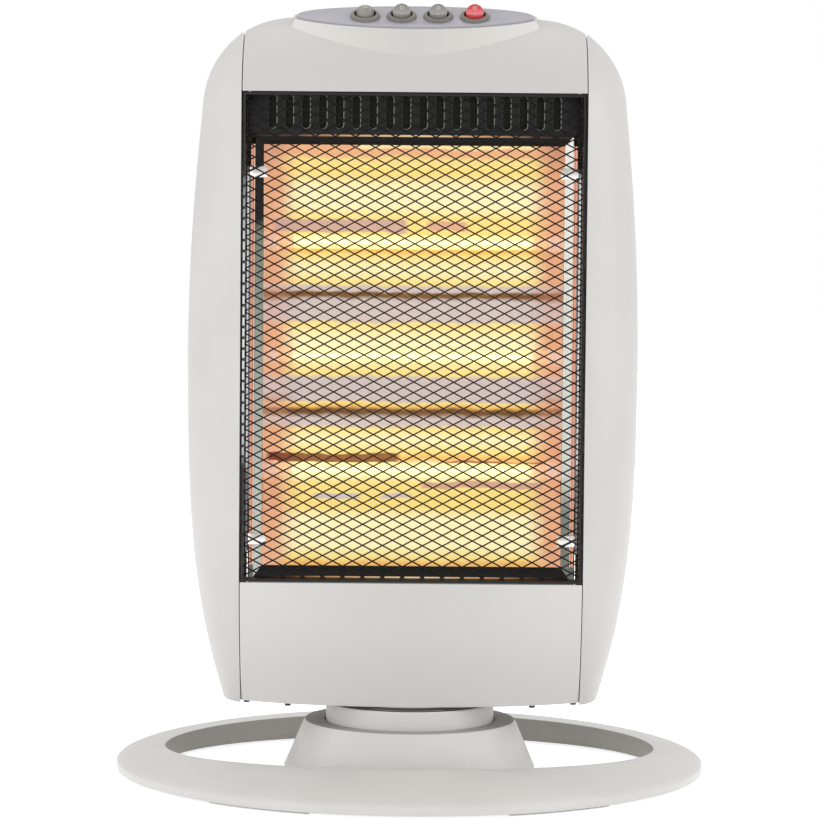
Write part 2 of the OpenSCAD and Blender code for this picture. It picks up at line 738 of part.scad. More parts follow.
// Black plate with the row of upright slots above the reflector
module vent_plate() color(black_steel)
  translate([0, frame_front + frame_t, 0]) rotate([90, 0, 0]) linear_extrude(frame_t) difference() {
    translate([1.5 - mesh_half_w, inner_high + top_bar + face_gap])
      square([2 * mesh_half_w - 3, grille_high - inner_high - top_bar - 1]);
    for (i = [0:slot_count - 1]) translate([(i - (slot_count - 1) / 2) * slot_pitch, slot_z])
      round_slot(5.4, slot_h);
  }

// Bar of the frame along X with its inner edge up, sloped back from its flat outer fifth to its inner
// edge, and mitred to the widths of the bars that it meets at its left and right ends
module frame_member(length, w, left_w, right_w)
  intersection() {
    rotate([90, 0, 90]) linear_extrude(length, center = true)
      polygon([[0, 0], [frame_t, 0], [frame_t, w / 5], [frame_slope + frame_t, w], [frame_slope, w],
        [0, w / 5]]);
    rotate([90, 0, 0]) linear_extrude(30, center = true)
      polygon([[-length / 2, 0], [length / 2, 0], [length / 2 - right_w, w], [left_w - length / 2, w]]);
  }

// Mitred frame that leads in to the reflector's mouth on all four sides
module reflector_frame() color(black_steel) {
  frame_half = inner_half + side_bar;
  low = inner_low - low_bar;
  high = inner_high + top_bar;
  translate([0, frame_front, low]) frame_member(2 * frame_half, low_bar, side_bar, side_bar);
  translate([0, frame_front, high]) mirror([0, 0, 1])
    frame_member(2 * frame_half, top_bar, side_bar, side_bar);
  for (side = [0, 1]) mirror([side, 0, 0]) translate([frame_half, frame_front, (low + high) / 2])
    rotate([0, -90, 0]) frame_member(high - low, side_bar, low_bar, top_bar);
}

// ---------- reflector and tubes ----------

sheet = 0.6;
trough_depth = 2;
trough_centre_y = -trough_depth - trough_r;
cusp = (tube_heights[1] - tube_heights[0]) / 2;
trough_edge = 54;

// One trough of the reflector sheet, between the heights low and high about its tube
module trough(z, low, high) {
  translate([trough_centre_y, z]) intersection() {
    difference() {
      circle(r = trough_r + sheet, $fn = 128);
      circle(r = trough_r, $fn = 128);
    }
    translate([0, low]) square([trough_r + 2, high - low]);
  }
}

// Flat wing of the sheet from a trough's edge to the frame's lip, reach away from the tube's height
module wing(reach) {
  foot = trough_centre_y + sqrt(pow(trough_r, 2) - pow(trough_edge, 2));
  lip = frame_front + frame_slope + frame_t + 0.1;
  polygon([[foot, trough_edge - 0.2], [foot + 2 * sheet, trough_edge - 0.2],
    [lip + 2 * sheet, reach], [lip, reach]]);
}

module reflector() color([0.9, 0.85, 0.8])
  translate([-inner_half - 0.8, 0, 0]) rotate([90, 0, 90]) linear_extrude(2 * inner_half + 1.6) union() {
    trough(tube_heights[0], -trough_edge, cusp);
    trough(tube_heights[1], -cusp, cusp);
    trough(tube_heights[2], -cusp, trough_edge);
    translate([0, tube_heights[0]]) mirror([0, 1]) wing(tube_heights[0] - inner_low - face_gap);
    translate([0, tube_heights[2]]) wing(inner_high - face_gap - tube_heights[2]);
  }

// End wall of the reflector, folded outwards at the front into a bright flange
module reflector_end() {
  near = frame_front + frame_slope + frame_t + 0.1;
  thick = 0.8;
  difference() {
    union() {
      block([inner_half + 1, near, inner_low], [inner_half + 1 + thick, 8, inner_high]);
      block([inner_half + 1, near, inner_low], [inner_half + 9, near + thick, inner_high]);
    }
    for (z = tube_heights) translate([inner_half - 5, -tube_front, z]) rotate([0, 90, 0])
      cylinder(d = cap_d + 1.6, h = 20);
  }
}

module reflector_end_right() color(bright_steel) reflector_end();

module reflector_end_left() color(bright_steel) mirror([1, 0, 0]) reflector_end();

glass_half = 98;
cap_d = 12.4;
cap_inner = glass_half - 2;
cap_outer = inner_half + 12;
chassis_t = 1.2;

module tube_glass() color([0.9, 0.9, 0.95, 0.4])
  for (z = tube_heights) translate([0, -tube_front, z]) rotate([0, 90, 0]) difference() {
    cylinder(d = tube_d, h = 2 * glass_half, center = true);
    cylinder(d = tube_d - 2, h = 2 * glass_half - 6, center = true);
  }

module tube_filaments() color([1, 0.7, 0.3])
  for (z = tube_heights) translate([0, -tube_front, z]) rotate([0, 90, 0])
    cylinder(d = 2.2, h = 2 * glass_half - 6, center = true);

module tube_caps() color("white")
  for (z = tube_heights, side = [0, 1]) translate([0, -tube_front, z]) mirror([side, 0, 0])
    rotate([0, 90, 0]) difference() {
      translate([0, 0, cap_inner]) cylinder(d = cap_d, h = cap_outer - cap_inner);
      translate([0, 0, cap_inner - 1]) cylinder(d = tube_d, h = glass_half - cap_inner + 1);
    }

// Upright strip that holds the ceramic ends of all the tubes
module tube_bracket() {
  x = cap_outer - 3;
  difference() {
    block([x, -tube_front - 11, tube_heights[0] - 22], [x + 1.2, -tube_front + 11, tube_heights[2] + 22]);
    for (z = tube_heights)
      translate([x - 1, -tube_front, z]) rotate([0, 90, 0]) cylinder(d = cap_d + 2 * running_gap, h = 5);
  }
}

module tube_bracket_right() color(bright_steel) tube_bracket();

module tube_bracket_left() color(bright_steel) mirror([1, 0, 0]) tube_bracket();

// ---------- electrical parts inside ----------

module thermal_cutout() color([0.2, 0.2, 0.2])
  translate([0, 12 + chassis_t, 434]) rotate([-90, 0, 0]) {
    cylinder(d = 15, h = 8);
    for (side = [-1, 1]) translate([side * 4 - 0.4, -3, 8]) cube([0.8, 6, 6]);
  }

module terminal_block() color("white")
  difference() {
    block([60, -8, tray_top], [96, 6, tray_top + 14]);
    for (i = [0:2]) translate([66 + i * 12, -1, tray_top + 4]) cylinder(d = 5, h = 20, $fn = 24);
  }

base_ring();
base_plate();
foot_pads();
hub_cover();
hub_screws();
base_screws();
crank_guide();
tip_switch();
tip_plunger();
slide_ring();
turntable();
turntable_screws();
body_tray();
front_lower_panel();
side_panel_left();
side_panel_right();
upper_housing();
control_panel();
back_cover();
back_screws();
cable_gland();
chassis();
guard_mesh();
guard_frame();
guard_clips();
vent_plate();
reflector_frame();
reflector();
reflector_end_left();
reflector_end_right();
tube_glass();
tube_filaments();
tube_caps();
tube_bracket_left();
tube_bracket_right();
thermal_cutout();
terminal_block();
swing_motor();
motor_crank();
switch_cases();
switch_bezels();
rocker_swing();
rocker_tube_1();
rocker_tube_2();
rocker_power();
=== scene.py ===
"""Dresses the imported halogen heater: smooth mouldings, glowing reflector, switches, stage and camera."""

import math

import bpy
from mathutils import Euler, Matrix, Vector


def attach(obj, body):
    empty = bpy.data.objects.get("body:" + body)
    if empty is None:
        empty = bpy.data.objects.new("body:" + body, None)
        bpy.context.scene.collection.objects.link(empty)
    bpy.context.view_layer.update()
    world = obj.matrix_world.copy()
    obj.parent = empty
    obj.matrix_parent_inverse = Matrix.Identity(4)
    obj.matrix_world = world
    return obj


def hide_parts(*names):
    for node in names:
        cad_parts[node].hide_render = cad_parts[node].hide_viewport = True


bl_info = {
    "name": "Halogen Heater",
    "version": (1, 0, 0),
    "blender": (4, 5, 0),
    "location": "View3D > Sidebar > Heater",
    "description": "Models the visible pieces and finishes of a halogen heater around its packed model",
    "category": "Object",
}

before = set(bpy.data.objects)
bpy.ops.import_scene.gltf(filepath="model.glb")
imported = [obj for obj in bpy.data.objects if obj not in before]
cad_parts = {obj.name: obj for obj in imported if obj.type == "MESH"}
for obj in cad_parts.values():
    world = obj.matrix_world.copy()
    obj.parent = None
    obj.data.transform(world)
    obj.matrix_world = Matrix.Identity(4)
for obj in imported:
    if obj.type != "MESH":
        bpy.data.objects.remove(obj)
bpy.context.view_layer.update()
MM = 0.001
FINISHES = {}

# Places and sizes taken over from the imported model, in millimetres, and its angles
TUBE_HEIGHTS = (217.2, 298.2, 379.2)
TUBE_Y = -24.0
HOT_LENGTH = 170.0
BODY_FRONT = 57.0
WINDOW_HALF = 106.0
SIDE_BAR_X = 115.0
POD_LOW = 505.0
POD_LEAN = math.radians(15)
PANEL_TILT = math.radians(28)
PANEL_Y = -28.0
PANEL_Z = 538.5
# the switches, whose caps turn about a pivot below the panel and are dished by a wide cylinder
SWITCH_SHIFT = 3.0
SWITCH_PITCH = 25.8
PIVOT_DROP = 1.3
ROCKER_R = 6.3
ROCKER_LIP = 8.15
DISH_R = 12.0
DISH_Z = ROCKER_LIP + math.sqrt(DISH_R ** 2 - ROCKER_R ** 2)
# the row of slots above the reflector
SLOT_PITCH = 11.75
SLOT_W = 5.4
SLOT_H = 23.2
SLOT_Z = 470.5
SLOT_ROW_HALF = 9 * SLOT_PITCH
# the ring's inner wall, the hub's deck with the gap round the collar, and the gap under the body
RING_WALL_R = 90.0
DECK_Z = 34.0
DECK_LINE = 35.7
DECK_GAP_R = 60.0
GAP_LOW = 48.3
BODY_GAP_R = 55.0
LUG_TOP = 50.6

# The camera that fits the photograph
CAMERA_AIM = Vector((-0.0020, 0, 0.2588))
CAMERA_ROLL = math.radians(0.49)
HALF_VIEW = math.radians(7.0)
SENSOR_WIDTH = 36
# The studio: brightness of the surroundings as light, lift of the floor where it is seen, and the
# softboxes' size and the place that they face, in metres
SKY_LIGHT = 0.77
FLOOR_LIFT = 0.6
SOFTBOX_SIZE = 1.6
LIGHT_AIM = Vector((0, 0, 0.28))
# Each softbox's name, its place in metres and its power in watts
SOFTBOXES = (
    ("key_softbox", (-2.0, -2.6, 0.45), 20), ("right_softbox", (2.8, -0.6, 0.8), 16),
    ("left_softbox", (-2.8, -0.6, 0.8), 6), ("front_softbox", (0.8, -3.0, 0.5), 2),
    ("top_softbox", (0.0, 0.3, 2.6), 8),
)

# How near two points are joined in a copied piece, and at the tip of a turned one, in millimetres
WELD = 0.004
TIP_WELD = 0.012


# ---------- working on meshes ----------

def only(piece):
    """Leave one object selected and active."""
    bpy.ops.object.select_all(action="DESELECT")
    piece.select_set(True)
    bpy.context.view_layer.objects.active = piece


def edit_all(piece):
    """Open a piece in edit mode with everything selected."""
    only(piece)
    bpy.context.tool_settings.mesh_select_mode = (True, False, False)
    bpy.ops.object.mode_set(mode="EDIT")
    bpy.ops.mesh.select_all(action="SELECT")


def close_edit():
    """Back to object mode."""
    bpy.ops.object.mode_set(mode="OBJECT")


def modified(piece, kind, **settings):
    """Add a modifier to a piece and apply it."""
    only(piece)
    modifier = piece.modifiers.new(kind.title(), kind)
    for key, value in settings.items():
        setattr(modifier, key, value)
    bpy.ops.object.modifier_apply(modifier=modifier.name)


def rounded(piece, width, segments=2, angle=35):
    """Round every edge sharper than the angle, with the width in millimetres."""
    modified(piece, "BEVEL", width=width * MM, segments=segments, limit_method="ANGLE",
             angle_limit=math.radians(angle), harden_normals=False, miter_outer="MITER_ARC")


def smooth(piece, angle=32):
    """Shade smooth, but for edges sharper than the angle."""
    only(piece)
    bpy.ops.object.shade_smooth_by_angle(angle=math.radians(angle))


def set_down(piece, place, turn):
    """Turn and move a piece modelled at the origin, in millimetres, and apply it to the mesh."""
    only(piece)
    piece.rotation_euler = turn
    piece.location = Vector(place) * MM
    bpy.ops.object.transform_apply(location=True, rotation=True, scale=True)


def merged_copy(node, name):
    """A piece that starts from a frame node's shape, with its loose triangles joined up."""
    only(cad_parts[node])
    bpy.ops.object.duplicate()
    piece = bpy.context.object
    piece.name = piece.data.name = name
    for key in [k for k in piece.keys() if k.startswith("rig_")]:
        del piece[key]
    piece.data.materials.clear()
    edit_all(piece)
    bpy.ops.mesh.remove_doubles(threshold=WELD * MM)
    close_edit()
    return piece


def quads(piece):
    """Join the triangles of a faceted shell into its quads."""
    edit_all(piece)
    bpy.ops.mesh.tris_convert_to_quads(face_threshold=math.radians(40), shape_threshold=math.radians(60))
    close_edit()


def flats(piece, angle=0.6):
    """Join coplanar triangles into whole faces."""
    edit_all(piece)
    bpy.ops.mesh.dissolve_limited(angle_limit=math.radians(angle))
    close_edit()


def cut_level(piece, *heights):
    """Add an edge ring round the piece at each height, in millimetres."""
    for height in heights:
        edit_all(piece)
        bpy.ops.mesh.bisect(plane_co=(0, 0, height * MM), plane_no=(0, 0, 1))
        close_edit()


def creased(piece, chosen):
    """Keep the outline of the chosen faces crisp when the piece is subdivided."""
    only(piece)
    bpy.context.tool_settings.mesh_select_mode = (False, False, True)
    for face in piece.data.polygons:
        face.select = chosen(face)
    bpy.ops.object.mode_set(mode="EDIT")
    bpy.ops.mesh.region_to_loop()
    bpy.ops.transform.edge_crease(value=1.0)
    bpy.ops.mesh.mark_sharp()
    close_edit()


def painted(piece, finish, chosen):
    """Give the chosen faces a second finish."""
    piece.data.materials.append(FINISHES[finish])
    for face in piece.data.polygons:
        if chosen(face):
            face.material_index = len(piece.data.materials) - 1


def started(name):
    """The primitive just added, named, with its place applied to the mesh."""
    piece = bpy.context.object
    piece.name = piece.data.name = name
    bpy.ops.object.transform_apply(location=True, rotation=True)
    return piece


def turned(name, profile, sides=64):
    """A round piece about Z: an edge ring at the profile's first point, extruded to each next one."""
    radius, height = profile[0]
    bpy.ops.mesh.primitive_circle_add(vertices=sides, radius=radius * MM, location=(0, 0, height * MM))
    piece = started(name)
    edit_all(piece)
    for next_radius, next_height in profile[1:]:
        rise = (next_height - height) * MM
        bpy.ops.mesh.extrude_region_move(TRANSFORM_OT_translate={"value": (0, 0, rise)})
        share = next_radius / radius
        bpy.ops.transform.resize(value=(share, share, 1), center_override=(0, 0, next_height * MM))
        radius, height = next_radius, next_height
    # a tiny last ring closes into the tip here
    bpy.ops.mesh.select_all(action="SELECT")
    bpy.ops.mesh.remove_doubles(threshold=TIP_WELD * MM)
    bpy.ops.mesh.normals_make_consistent(inside=False)
    close_edit()
    return piece


def joined(pieces, name):
    """One piece made of several."""
    bpy.ops.object.select_all(action="DESELECT")
    for piece in pieces:
        piece.select_set(True)
    bpy.context.view_layer.objects.active = pieces[0]
    bpy.ops.object.join()
    whole = bpy.context.object
    whole.name = whole.data.name = name
    return whole


def fitted(piece, body, slot, finish, *nodes):
    """Give a finished piece its material and its body, and hide the nodes that it stands for. The slot is
    not used.
    """
    piece.data.materials.clear()
    piece.data.materials.append(FINISHES[finish])
    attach(piece, body)
    if nodes:
        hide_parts(*nodes)


def dressed(node, name, body, slot, finish, width, join=flats):
    """A piece in a node's own shape, with its edges rounded by the width in millimetres."""
    piece = merged_copy(node, name)
    join(piece)
    rounded(piece, width)
    smooth(piece)
    fitted(piece, body, slot, finish, node)
    return piece


# ---------- materials ----------

# Inputs and output of a Mix node for colours, whose names are also those of its other kinds
SHARE, FIRST, SECOND = 0, 6, 7
MIXED = 2


def linear(code):
    """An sRGB hex colour as linear RGBA."""
    parts = [int(code[i:i + 2], 16) / 255 for i in (1, 3, 5)]
    return (*[c / 12.92 if c <= 0.04045 else ((c + 0.055) / 1.055) ** 2.4 for c in parts], 1.0)


def hex_code(colour):
    """A linear colour as an sRGB hex code."""
    parts = [c * 12.92 if c <= 0.0031308 else 1.055 * c ** (1 / 2.4) - 0.055 for c in colour]
    return "#" + "".join(f"{round(c * 255):02X}" for c in parts)


def shaded(code, share):
    """A hex colour made lighter or darker by a share, as linear RGBA."""
    return (*[min(1.0, c * share) for c in linear(code)[:3]], 1.0)


def add(tree, kind, values=(), links=(), stops=(), **settings):
    """Add a node: settings are its properties, values its sockets' numbers, links what feeds them.

    A link comes from a socket, or from a node's first one. Stops are the places from 0 to 1 and the
    colours of a colour ramp.
    """
    node = tree.nodes.new("ShaderNode" + kind)
    for key, value in settings.items():
        setattr(node, key, value)
    for key, value in dict(values).items():
        node.inputs[key].default_value = value
    for key, source in dict(links).items():
        socket = source.outputs[0] if isinstance(source, bpy.types.Node) else source
        tree.links.new(socket, node.inputs[key])
    if stops:
        elements = node.color_ramp.elements
        while len(elements) < len(stops):
            elements.new(0.5)
        for element, (place, colour) in zip(elements, stops):
            element.position = place
            element.color = colour
    return node


def material(name):
    """A new material, its empty node tree and the tree's object coordinates."""
    made = bpy.data.materials.new(name)
    made.use_nodes = True
    tree = made.node_tree
    tree.nodes.clear()
    return made, tree, add(tree, "TexCoord").outputs["Object"]


def surfaced(made, values, links):
    """End a material's tree in a shader with these sockets, and return the material."""
    tree = made.node_tree
    shader = add(tree, "BsdfPrincipled", values, links)
    add(tree, "OutputMaterial", links={"Surface": shader})
    return made


def grained(tree, place, size, depth, strength=0.5, **sockets):
    """Noise of a grain size, and the normals of a surface that it raises by a depth, in millimetres."""
    noise = add(tree, "TexNoise", {"Scale": 1 / (size * MM), "Detail": 3.0, **sockets}, {"Vector": place})
    return noise, add(tree, "Bump", {"Strength": strength, "Distance": depth * MM}, {"Height": noise})


def wavering(tree, place, value, size, reach):
    """A value shifted to and fro by noise of a size, by up to a reach, both in millimetres."""
    noise = add(tree, "TexNoise", {"Scale": 1 / (size * MM), "Detail": 3.0}, {"Vector": place})
    shift = add(tree, "MapRange",
                {"From Min": 0.3, "From Max": 0.7, "To Min": -reach * MM, "To Max": reach * MM},
                {"Value": noise})
    return add(tree, "Math", links={0: value, 1: shift}, operation="ADD")


def apart(tree, value, middle=0.0):
    """How far a value lies from a middle, which is in millimetres."""
    shift = add(tree, "Math", {1: middle * MM}, {0: value}, operation="SUBTRACT")
    return add(tree, "Math", links={0: shift}, operation="ABSOLUTE")


def near(tree, value, middle, half, fade):
    """0 where a value lies past the half width from a middle, and 1 from a fade's width within it."""
    return add(tree, "MapRange", {"From Min": half * MM, "From Max": (half - fade) * MM},
               {"Value": apart(tree, value, middle)})


def across(tree, place, stops):
    """Colour stops by the distance from the middle plane, in millimetres up to HALF_WIDTH."""
    axes = add(tree, "SeparateXYZ", links={"Vector": place})
    share = add(tree, "MapRange", {"From Max": HALF_WIDTH * MM}, {"Value": apart(tree, axes.outputs["X"])})
    return add(tree, "ValToRGB", links={"Fac": share},
               stops=[(away / HALF_WIDTH, linear(code)) for away, code in stops])


def moulding(name, tones, rough, ior=1.5, grain=0.45, depth=0.012, drift=0.03, **sockets):
    """Injection-moulded plastic: grain is the texture's size and depth its height, in millimetres.

    Its tones are one hex colour that drifts by a share, or stops across the width that paint light and shade
    on it.
    """
    made, tree, place = material(name)
    fine, normal = grained(tree, place, grain, depth, Roughness=0.6)
    if isinstance(tones, str):
        broad = add(tree, "TexNoise", {"Scale": 1 / (71 * MM), "Detail": 2.0}, {"Vector": place})
        tone = add(tree, "ValToRGB", links={"Fac": broad},
                   stops=[(0.3, shaded(tones, 1 - drift)), (0.7, shaded(tones, 1 + drift))])
    else:
        tone = across(tree, place, tones)
    sheen = add(tree, "MapRange",
                {"From Min": 0.3, "From Max": 0.7, "To Min": rough - 0.05, "To Max": rough + 0.05},
                {"Value": fine})
    return surfaced(made, {"IOR": ior, **sockets},
                    {"Base Color": tone, "Roughness": sheen, "Normal": normal})


def metal(name, code, rough, line, pitch, depth=0.006):
    """Metal with a fine finish: line stretches the pattern into brush lines or rolling marks."""
    made, tree, place = material(name)
    spread = add(tree, "Mapping", {"Scale": line}, {"Vector": place})
    marks, normal = grained(tree, spread, pitch, depth, 0.4, Detail=4.0)
    tone = add(tree, "ValToRGB", links={"Fac": marks},
               stops=[(0.25, shaded(code, 0.86)), (0.75, shaded(code, 1.05))])
    sheen = add(tree, "MapRange", {"To Min": rough - 0.08, "To Max": rough + 0.1}, {"Value": marks})
    return surfaced(made, {"Metallic": 1.0}, {"Base Color": tone, "Roughness": sheen, "Normal": normal})


YELLOW = "#FBE387"
PALE = "#FEFAC6"
LAVENDER = "#C9C3C6"
ORANGE = "#F0B07E"
COPPER = "#EAAE87"
BROWN = "#4A2414"
AMBER = "#F3B65C"
GAP_BLACK = "#0E0D0D"
# Lowest and highest point of the reflector, the height where its upper bands take over, the distances
# from the middle plane at which the light starts to fade and is gone, and the reach and the length of
# the waves in its edges, in millimetres
GLOW_LOW = 151.4
GLOW_HIGH = 451.6
UPPER_FROM = 349.1
FADE_FROM = 79.5
FADE_TO = 100.0
WAVER = 1.1
WAVE_SIZE = 16.7
# Distance from the middle plane, and height, that colour stops reach at most, in millimetres
HALF_WIDTH = 120
ZONE_TOP = 600
# Bands of light down the troughs, as height in millimetres and colour at the middle of the width
GLOW_BANDS = (
    (151.4, AMBER), (155.0, YELLOW), (165.0, PALE), (181.5, PALE), (188.5, YELLOW), (205.9, YELLOW),
    (210.9, PALE), (218.8, PALE), (223.7, AMBER), (227.7, YELLOW), (237.6, PALE), (246.0, YELLOW),
    (248.0, LAVENDER), (253.5, LAVENDER), (256.9, BROWN), (259.9, BROWN), (260.9, AMBER), (263.9, YELLOW),
    (265.3, LAVENDER), (281.2, LAVENDER), (283.7, YELLOW), (300.0, PALE), (308.9, PALE), (320.8, YELLOW),
    (322.8, LAVENDER), (337.7, LAVENDER), (340.1, BROWN), (342.6, BROWN), (344.1, LAVENDER),
    (347.1, LAVENDER), (349.1, YELLOW), (451.6, YELLOW),
)
UPPER_BANDS = (
    (348.6, YELLOW), (359.5, PALE), (369.4, YELLOW), (372.8, AMBER), (374.8, YELLOW), (385.2, YELLOW),
    (396.1, YELLOW), (405.0, PALE), (417.9, PALE), (427.8, YELLOW), (437.2, YELLOW), (441.2, ORANGE),
    (446.2, ORANGE), (451.6, ORANGE),
)
# Past the hot length the same folds of the sheet show in the painted reflection, with copper red between
# them
END_BANDS = (
    (151.4, COPPER), (246.0, COPPER), (248.5, LAVENDER), (253.5, LAVENDER), (256.4, BROWN), (259.9, BROWN),
    (261.4, COPPER), (263.9, COPPER), (265.8, "#B59A90"), (272.0, LAVENDER), (281.2, LAVENDER),
    (284.2, COPPER), (320.8, COPPER), (323.8, LAVENDER), (335.7, LAVENDER), (339.6, BROWN), (342.6, BROWN),
    (344.1, "#B9988C"), (347.1, LAVENDER), (350.1, COPPER), (425.0, COPPER), (440.0, "#C48868"),
    (451.6, "#B97C5E"),
)
# Patches on the bands: lowest and highest point, left and right end, and colour
PATCHES = (
    (385.2, 395.6, -102.0, -3.0, "#C3A49C"), (386.7, 394.6, 8.0, 40.0, "#D9A58E"),
    (444.4, 450.6, -42.0, 88.0, "#FBE9A8"), (219.4, 222.4, 22.0, 96.0, "#9A4A2C"),
    (220.0, 227.6, -106.0, -8.0, "#642418"), (201.9, 207.9, 5.0, 96.0, "#CDA08E"),
    (194.0, 199.0, -72.0, -36.0, LAVENDER), (195.0, 199.0, -24.0, 2.0, LAVENDER),
)
PATCH_FADE_Z = 1.2
PATCH_FADE_X = 4.0


def band_stops(bands):
    """Bands as stops of a colour ramp over the reflector's height."""
    return [((height - GLOW_LOW) / (GLOW_HIGH - GLOW_LOW), linear(code)) for height, code in bands]


def lit_reflector():
    """Polished aluminium sheet with the hot tubes' reflection painted on: bands of warm light along the
    troughs.
    """
    made, tree, place = material("polished_aluminium_with_painted_tube_reflection")
    axes = add(tree, "SeparateXYZ", links={"Vector": place})
    # the sheet is a little wavy, so the edges of the bands waver
    height = wavering(tree, place, axes.outputs["Z"], WAVE_SIZE, WAVER)
    level = add(tree, "MapRange", {"From Min": GLOW_LOW * MM, "From Max": GLOW_HIGH * MM},
                {"Value": height})
    lower, upper, folds = [
        add(tree, "ValToRGB", links={"Fac": level}, stops=band_stops(bands))
        for bands in (GLOW_BANDS, UPPER_BANDS, END_BANDS)]
    split = add(tree, "MapRange",
                {"From Min": UPPER_FROM * MM, "From Max": (UPPER_FROM + 0.5) * MM}, {"Value": height})
    middle = add(tree, "Mix", links={SHARE: split, FIRST: lower, SECOND: upper}, data_type="RGBA")
    # towards the ends of the troughs, past the hot length, the painted reflection turns copper red
    edge = wavering(tree, place, apart(tree, axes.outputs["X"]), WAVE_SIZE, WAVER)
    past = add(tree, "MapRange", {"From Min": FADE_FROM * MM, "From Max": FADE_TO * MM},
               {"Value": edge}, interpolation_type="SMOOTHSTEP")
    cloud = add(tree, "TexNoise", {"Scale": 1 / (26.3 * MM), "Detail": 4.0}, {"Vector": place})
    ends = add(tree, "ValToRGB", links={"Fac": cloud},
               stops=[(0.3, linear("#CC805E")), (0.5, linear(COPPER)), (0.7, linear("#EFC0A0"))])
    ended = add(tree, "Mix", {SHARE: 0.35}, {FIRST: folds, SECOND: ends}, data_type="RGBA")
    light = add(tree, "Mix", data_type="RGBA",
                links={SHARE: past, FIRST: middle.outputs[MIXED], SECOND: ended.outputs[MIXED]})
    for low, high, left, right, code in PATCHES:
        in_z = near(tree, height, (low + high) / 2, (high - low) / 2, PATCH_FADE_Z)
        in_x = near(tree, axes.outputs["X"], (left + right) / 2, (right - left) / 2, PATCH_FADE_X)
        both = add(tree, "Math", links={0: in_z, 1: in_x}, operation="MULTIPLY")
        light = add(tree, "Mix", {SECOND: linear(code)},
                    {SHARE: both, FIRST: light.outputs[MIXED]}, data_type="RGBA")
    return surfaced(made, {"Metallic": 1.0, "Base Color": linear("#6E5A4C"), "Roughness": 0.3,
                           "Emission Strength": 0.86}, {"Emission Color": light.outputs[MIXED]})


def tube_lit(name, code, rough, stops, reach=150.0, gloss=0.5):
    """Enamel or glaze with the tubes' light painted on: colours across the width, within a reach of the
    middle height.
    """
    made, tree, place = material(name)
    normal = grained(tree, place, 1.4, 0.02)[1]
    axes = add(tree, "SeparateXYZ", links={"Vector": place})
    level = near(tree, axes.outputs["Z"], (GLOW_LOW + GLOW_HIGH) / 2, reach + 1, 2)
    return surfaced(made, {"Base Color": linear(code), "Roughness": rough, "Specular IOR Level": gloss},
                    {"Normal": normal, "Emission Color": across(tree, place, stops),
                     "Emission Strength": level})


def zoned(name, stops, rough, metallic=0.35, glow=0.4, pitch=0.0):
    """Sheet metal with a painted reflection of its surroundings, which changes with the height, by stops up
    to ZONE_TOP.

    With a pitch, dark gaps break it into scallops of that height, in millimetres.
    """
    made, tree, place = material(name)
    axes = add(tree, "SeparateXYZ", links={"Vector": place})
    height = wavering(tree, place, axes.outputs["Z"], 1.2, 2.0)
    level = add(tree, "MapRange", {"From Max": ZONE_TOP * MM}, {"Value": height})
    tone = add(tree, "ValToRGB", links={"Fac": level},
               stops=[(at / ZONE_TOP, linear(code)) for at, code in stops])
    if pitch:
        turn = add(tree, "Math", {1: pitch / 2 * MM}, {0: axes.outputs["Z"]}, operation="PINGPONG")
        # the gap takes up about a quarter of the pitch, with a soft edge
        gap = add(tree, "MapRange",
                  {"From Min": 0.16 * pitch * MM, "From Max": 0.11 * pitch * MM}, {"Value": turn})
        tone = add(tree, "Mix", {SECOND: linear(GAP_BLACK)},
                   {SHARE: gap, FIRST: tone}, data_type="RGBA").outputs[MIXED]
    return surfaced(made, {"Metallic": metallic, "Roughness": rough, "Emission Strength": glow},
                    {"Base Color": tone, "Emission Color": tone})


def rimmed_enamel(code, rim_highlight):
    """Stove enamel of the slotted plate, with painted highlights on its pressed slot rims, most on their
    right.
    """
    made, tree, place = material("stove_enamel_with_painted_rim_highlights")
    axes = add(tree, "SeparateXYZ", links={"Vector": place})
    # place beside the nearest slot's middle, and past the end of its straight length
    within = add(tree, "Math", {1: SLOT_PITCH * MM, 2: 0.0}, {0: axes.outputs["X"]}, operation="WRAP")
    aside = add(tree, "Math", {1: SLOT_PITCH / 2 * MM}, {0: within}, operation="SUBTRACT")
    past = add(tree, "Math", {1: (SLOT_H - SLOT_W) / 2 * MM},
               {0: apart(tree, axes.outputs["Z"], SLOT_Z)}, operation="SUBTRACT")
    end = add(tree, "Math", {1: 0.0}, {0: past}, operation="MAXIMUM")
    spot = add(tree, "CombineXYZ", links={"X": aside, "Z": end})
    reach = add(tree, "VectorMath", links={0: spot}, operation="LENGTH")
    share = near(tree, reach.outputs["Value"], 0.0, SLOT_W / 2 + 0.75, 0.35)
    side = add(tree, "MapRange",
               {"From Min": -SLOT_W / 2 * MM, "From Max": SLOT_W / 2 * MM, "To Min": 0.12}, {"Value": aside})
    row = add(tree, "Math", {1: SLOT_ROW_HALF * MM}, {0: apart(tree, axes.outputs["X"])},
              operation="LESS_THAN")
    for factor in (side, row):
        share = add(tree, "Math", links={0: share, 1: factor}, operation="MULTIPLY")
    tone = add(tree, "Mix", {FIRST: linear(code), SECOND: linear(rim_highlight)}, {SHARE: share}, data_type="RGBA")
    normal = grained(tree, place, 1.4, 0.03)[1]
    return surfaced(made, {"Roughness": 0.42, "Specular IOR Level": 0.4},
                    {"Base Color": tone.outputs[MIXED], "Normal": normal})


def glowing(name, code):
    """A hot body that shows its own colour of light, a little uneven along its length."""
    made, tree, place = material(name)
    uneven = add(tree, "TexNoise", {"Scale": 1 / (5.56 * MM), "Detail": 2.0}, {"Vector": place})
    light = add(tree, "ValToRGB", links={"Fac": uneven},
                stops=[(0.3, shaded(code, 0.92)), (0.7, shaded(code, 1.06))])
    return surfaced(made, {"Base Color": linear(code), "Roughness": 0.3, "Emission Strength": 1.0},
                    {"Emission Color": light})


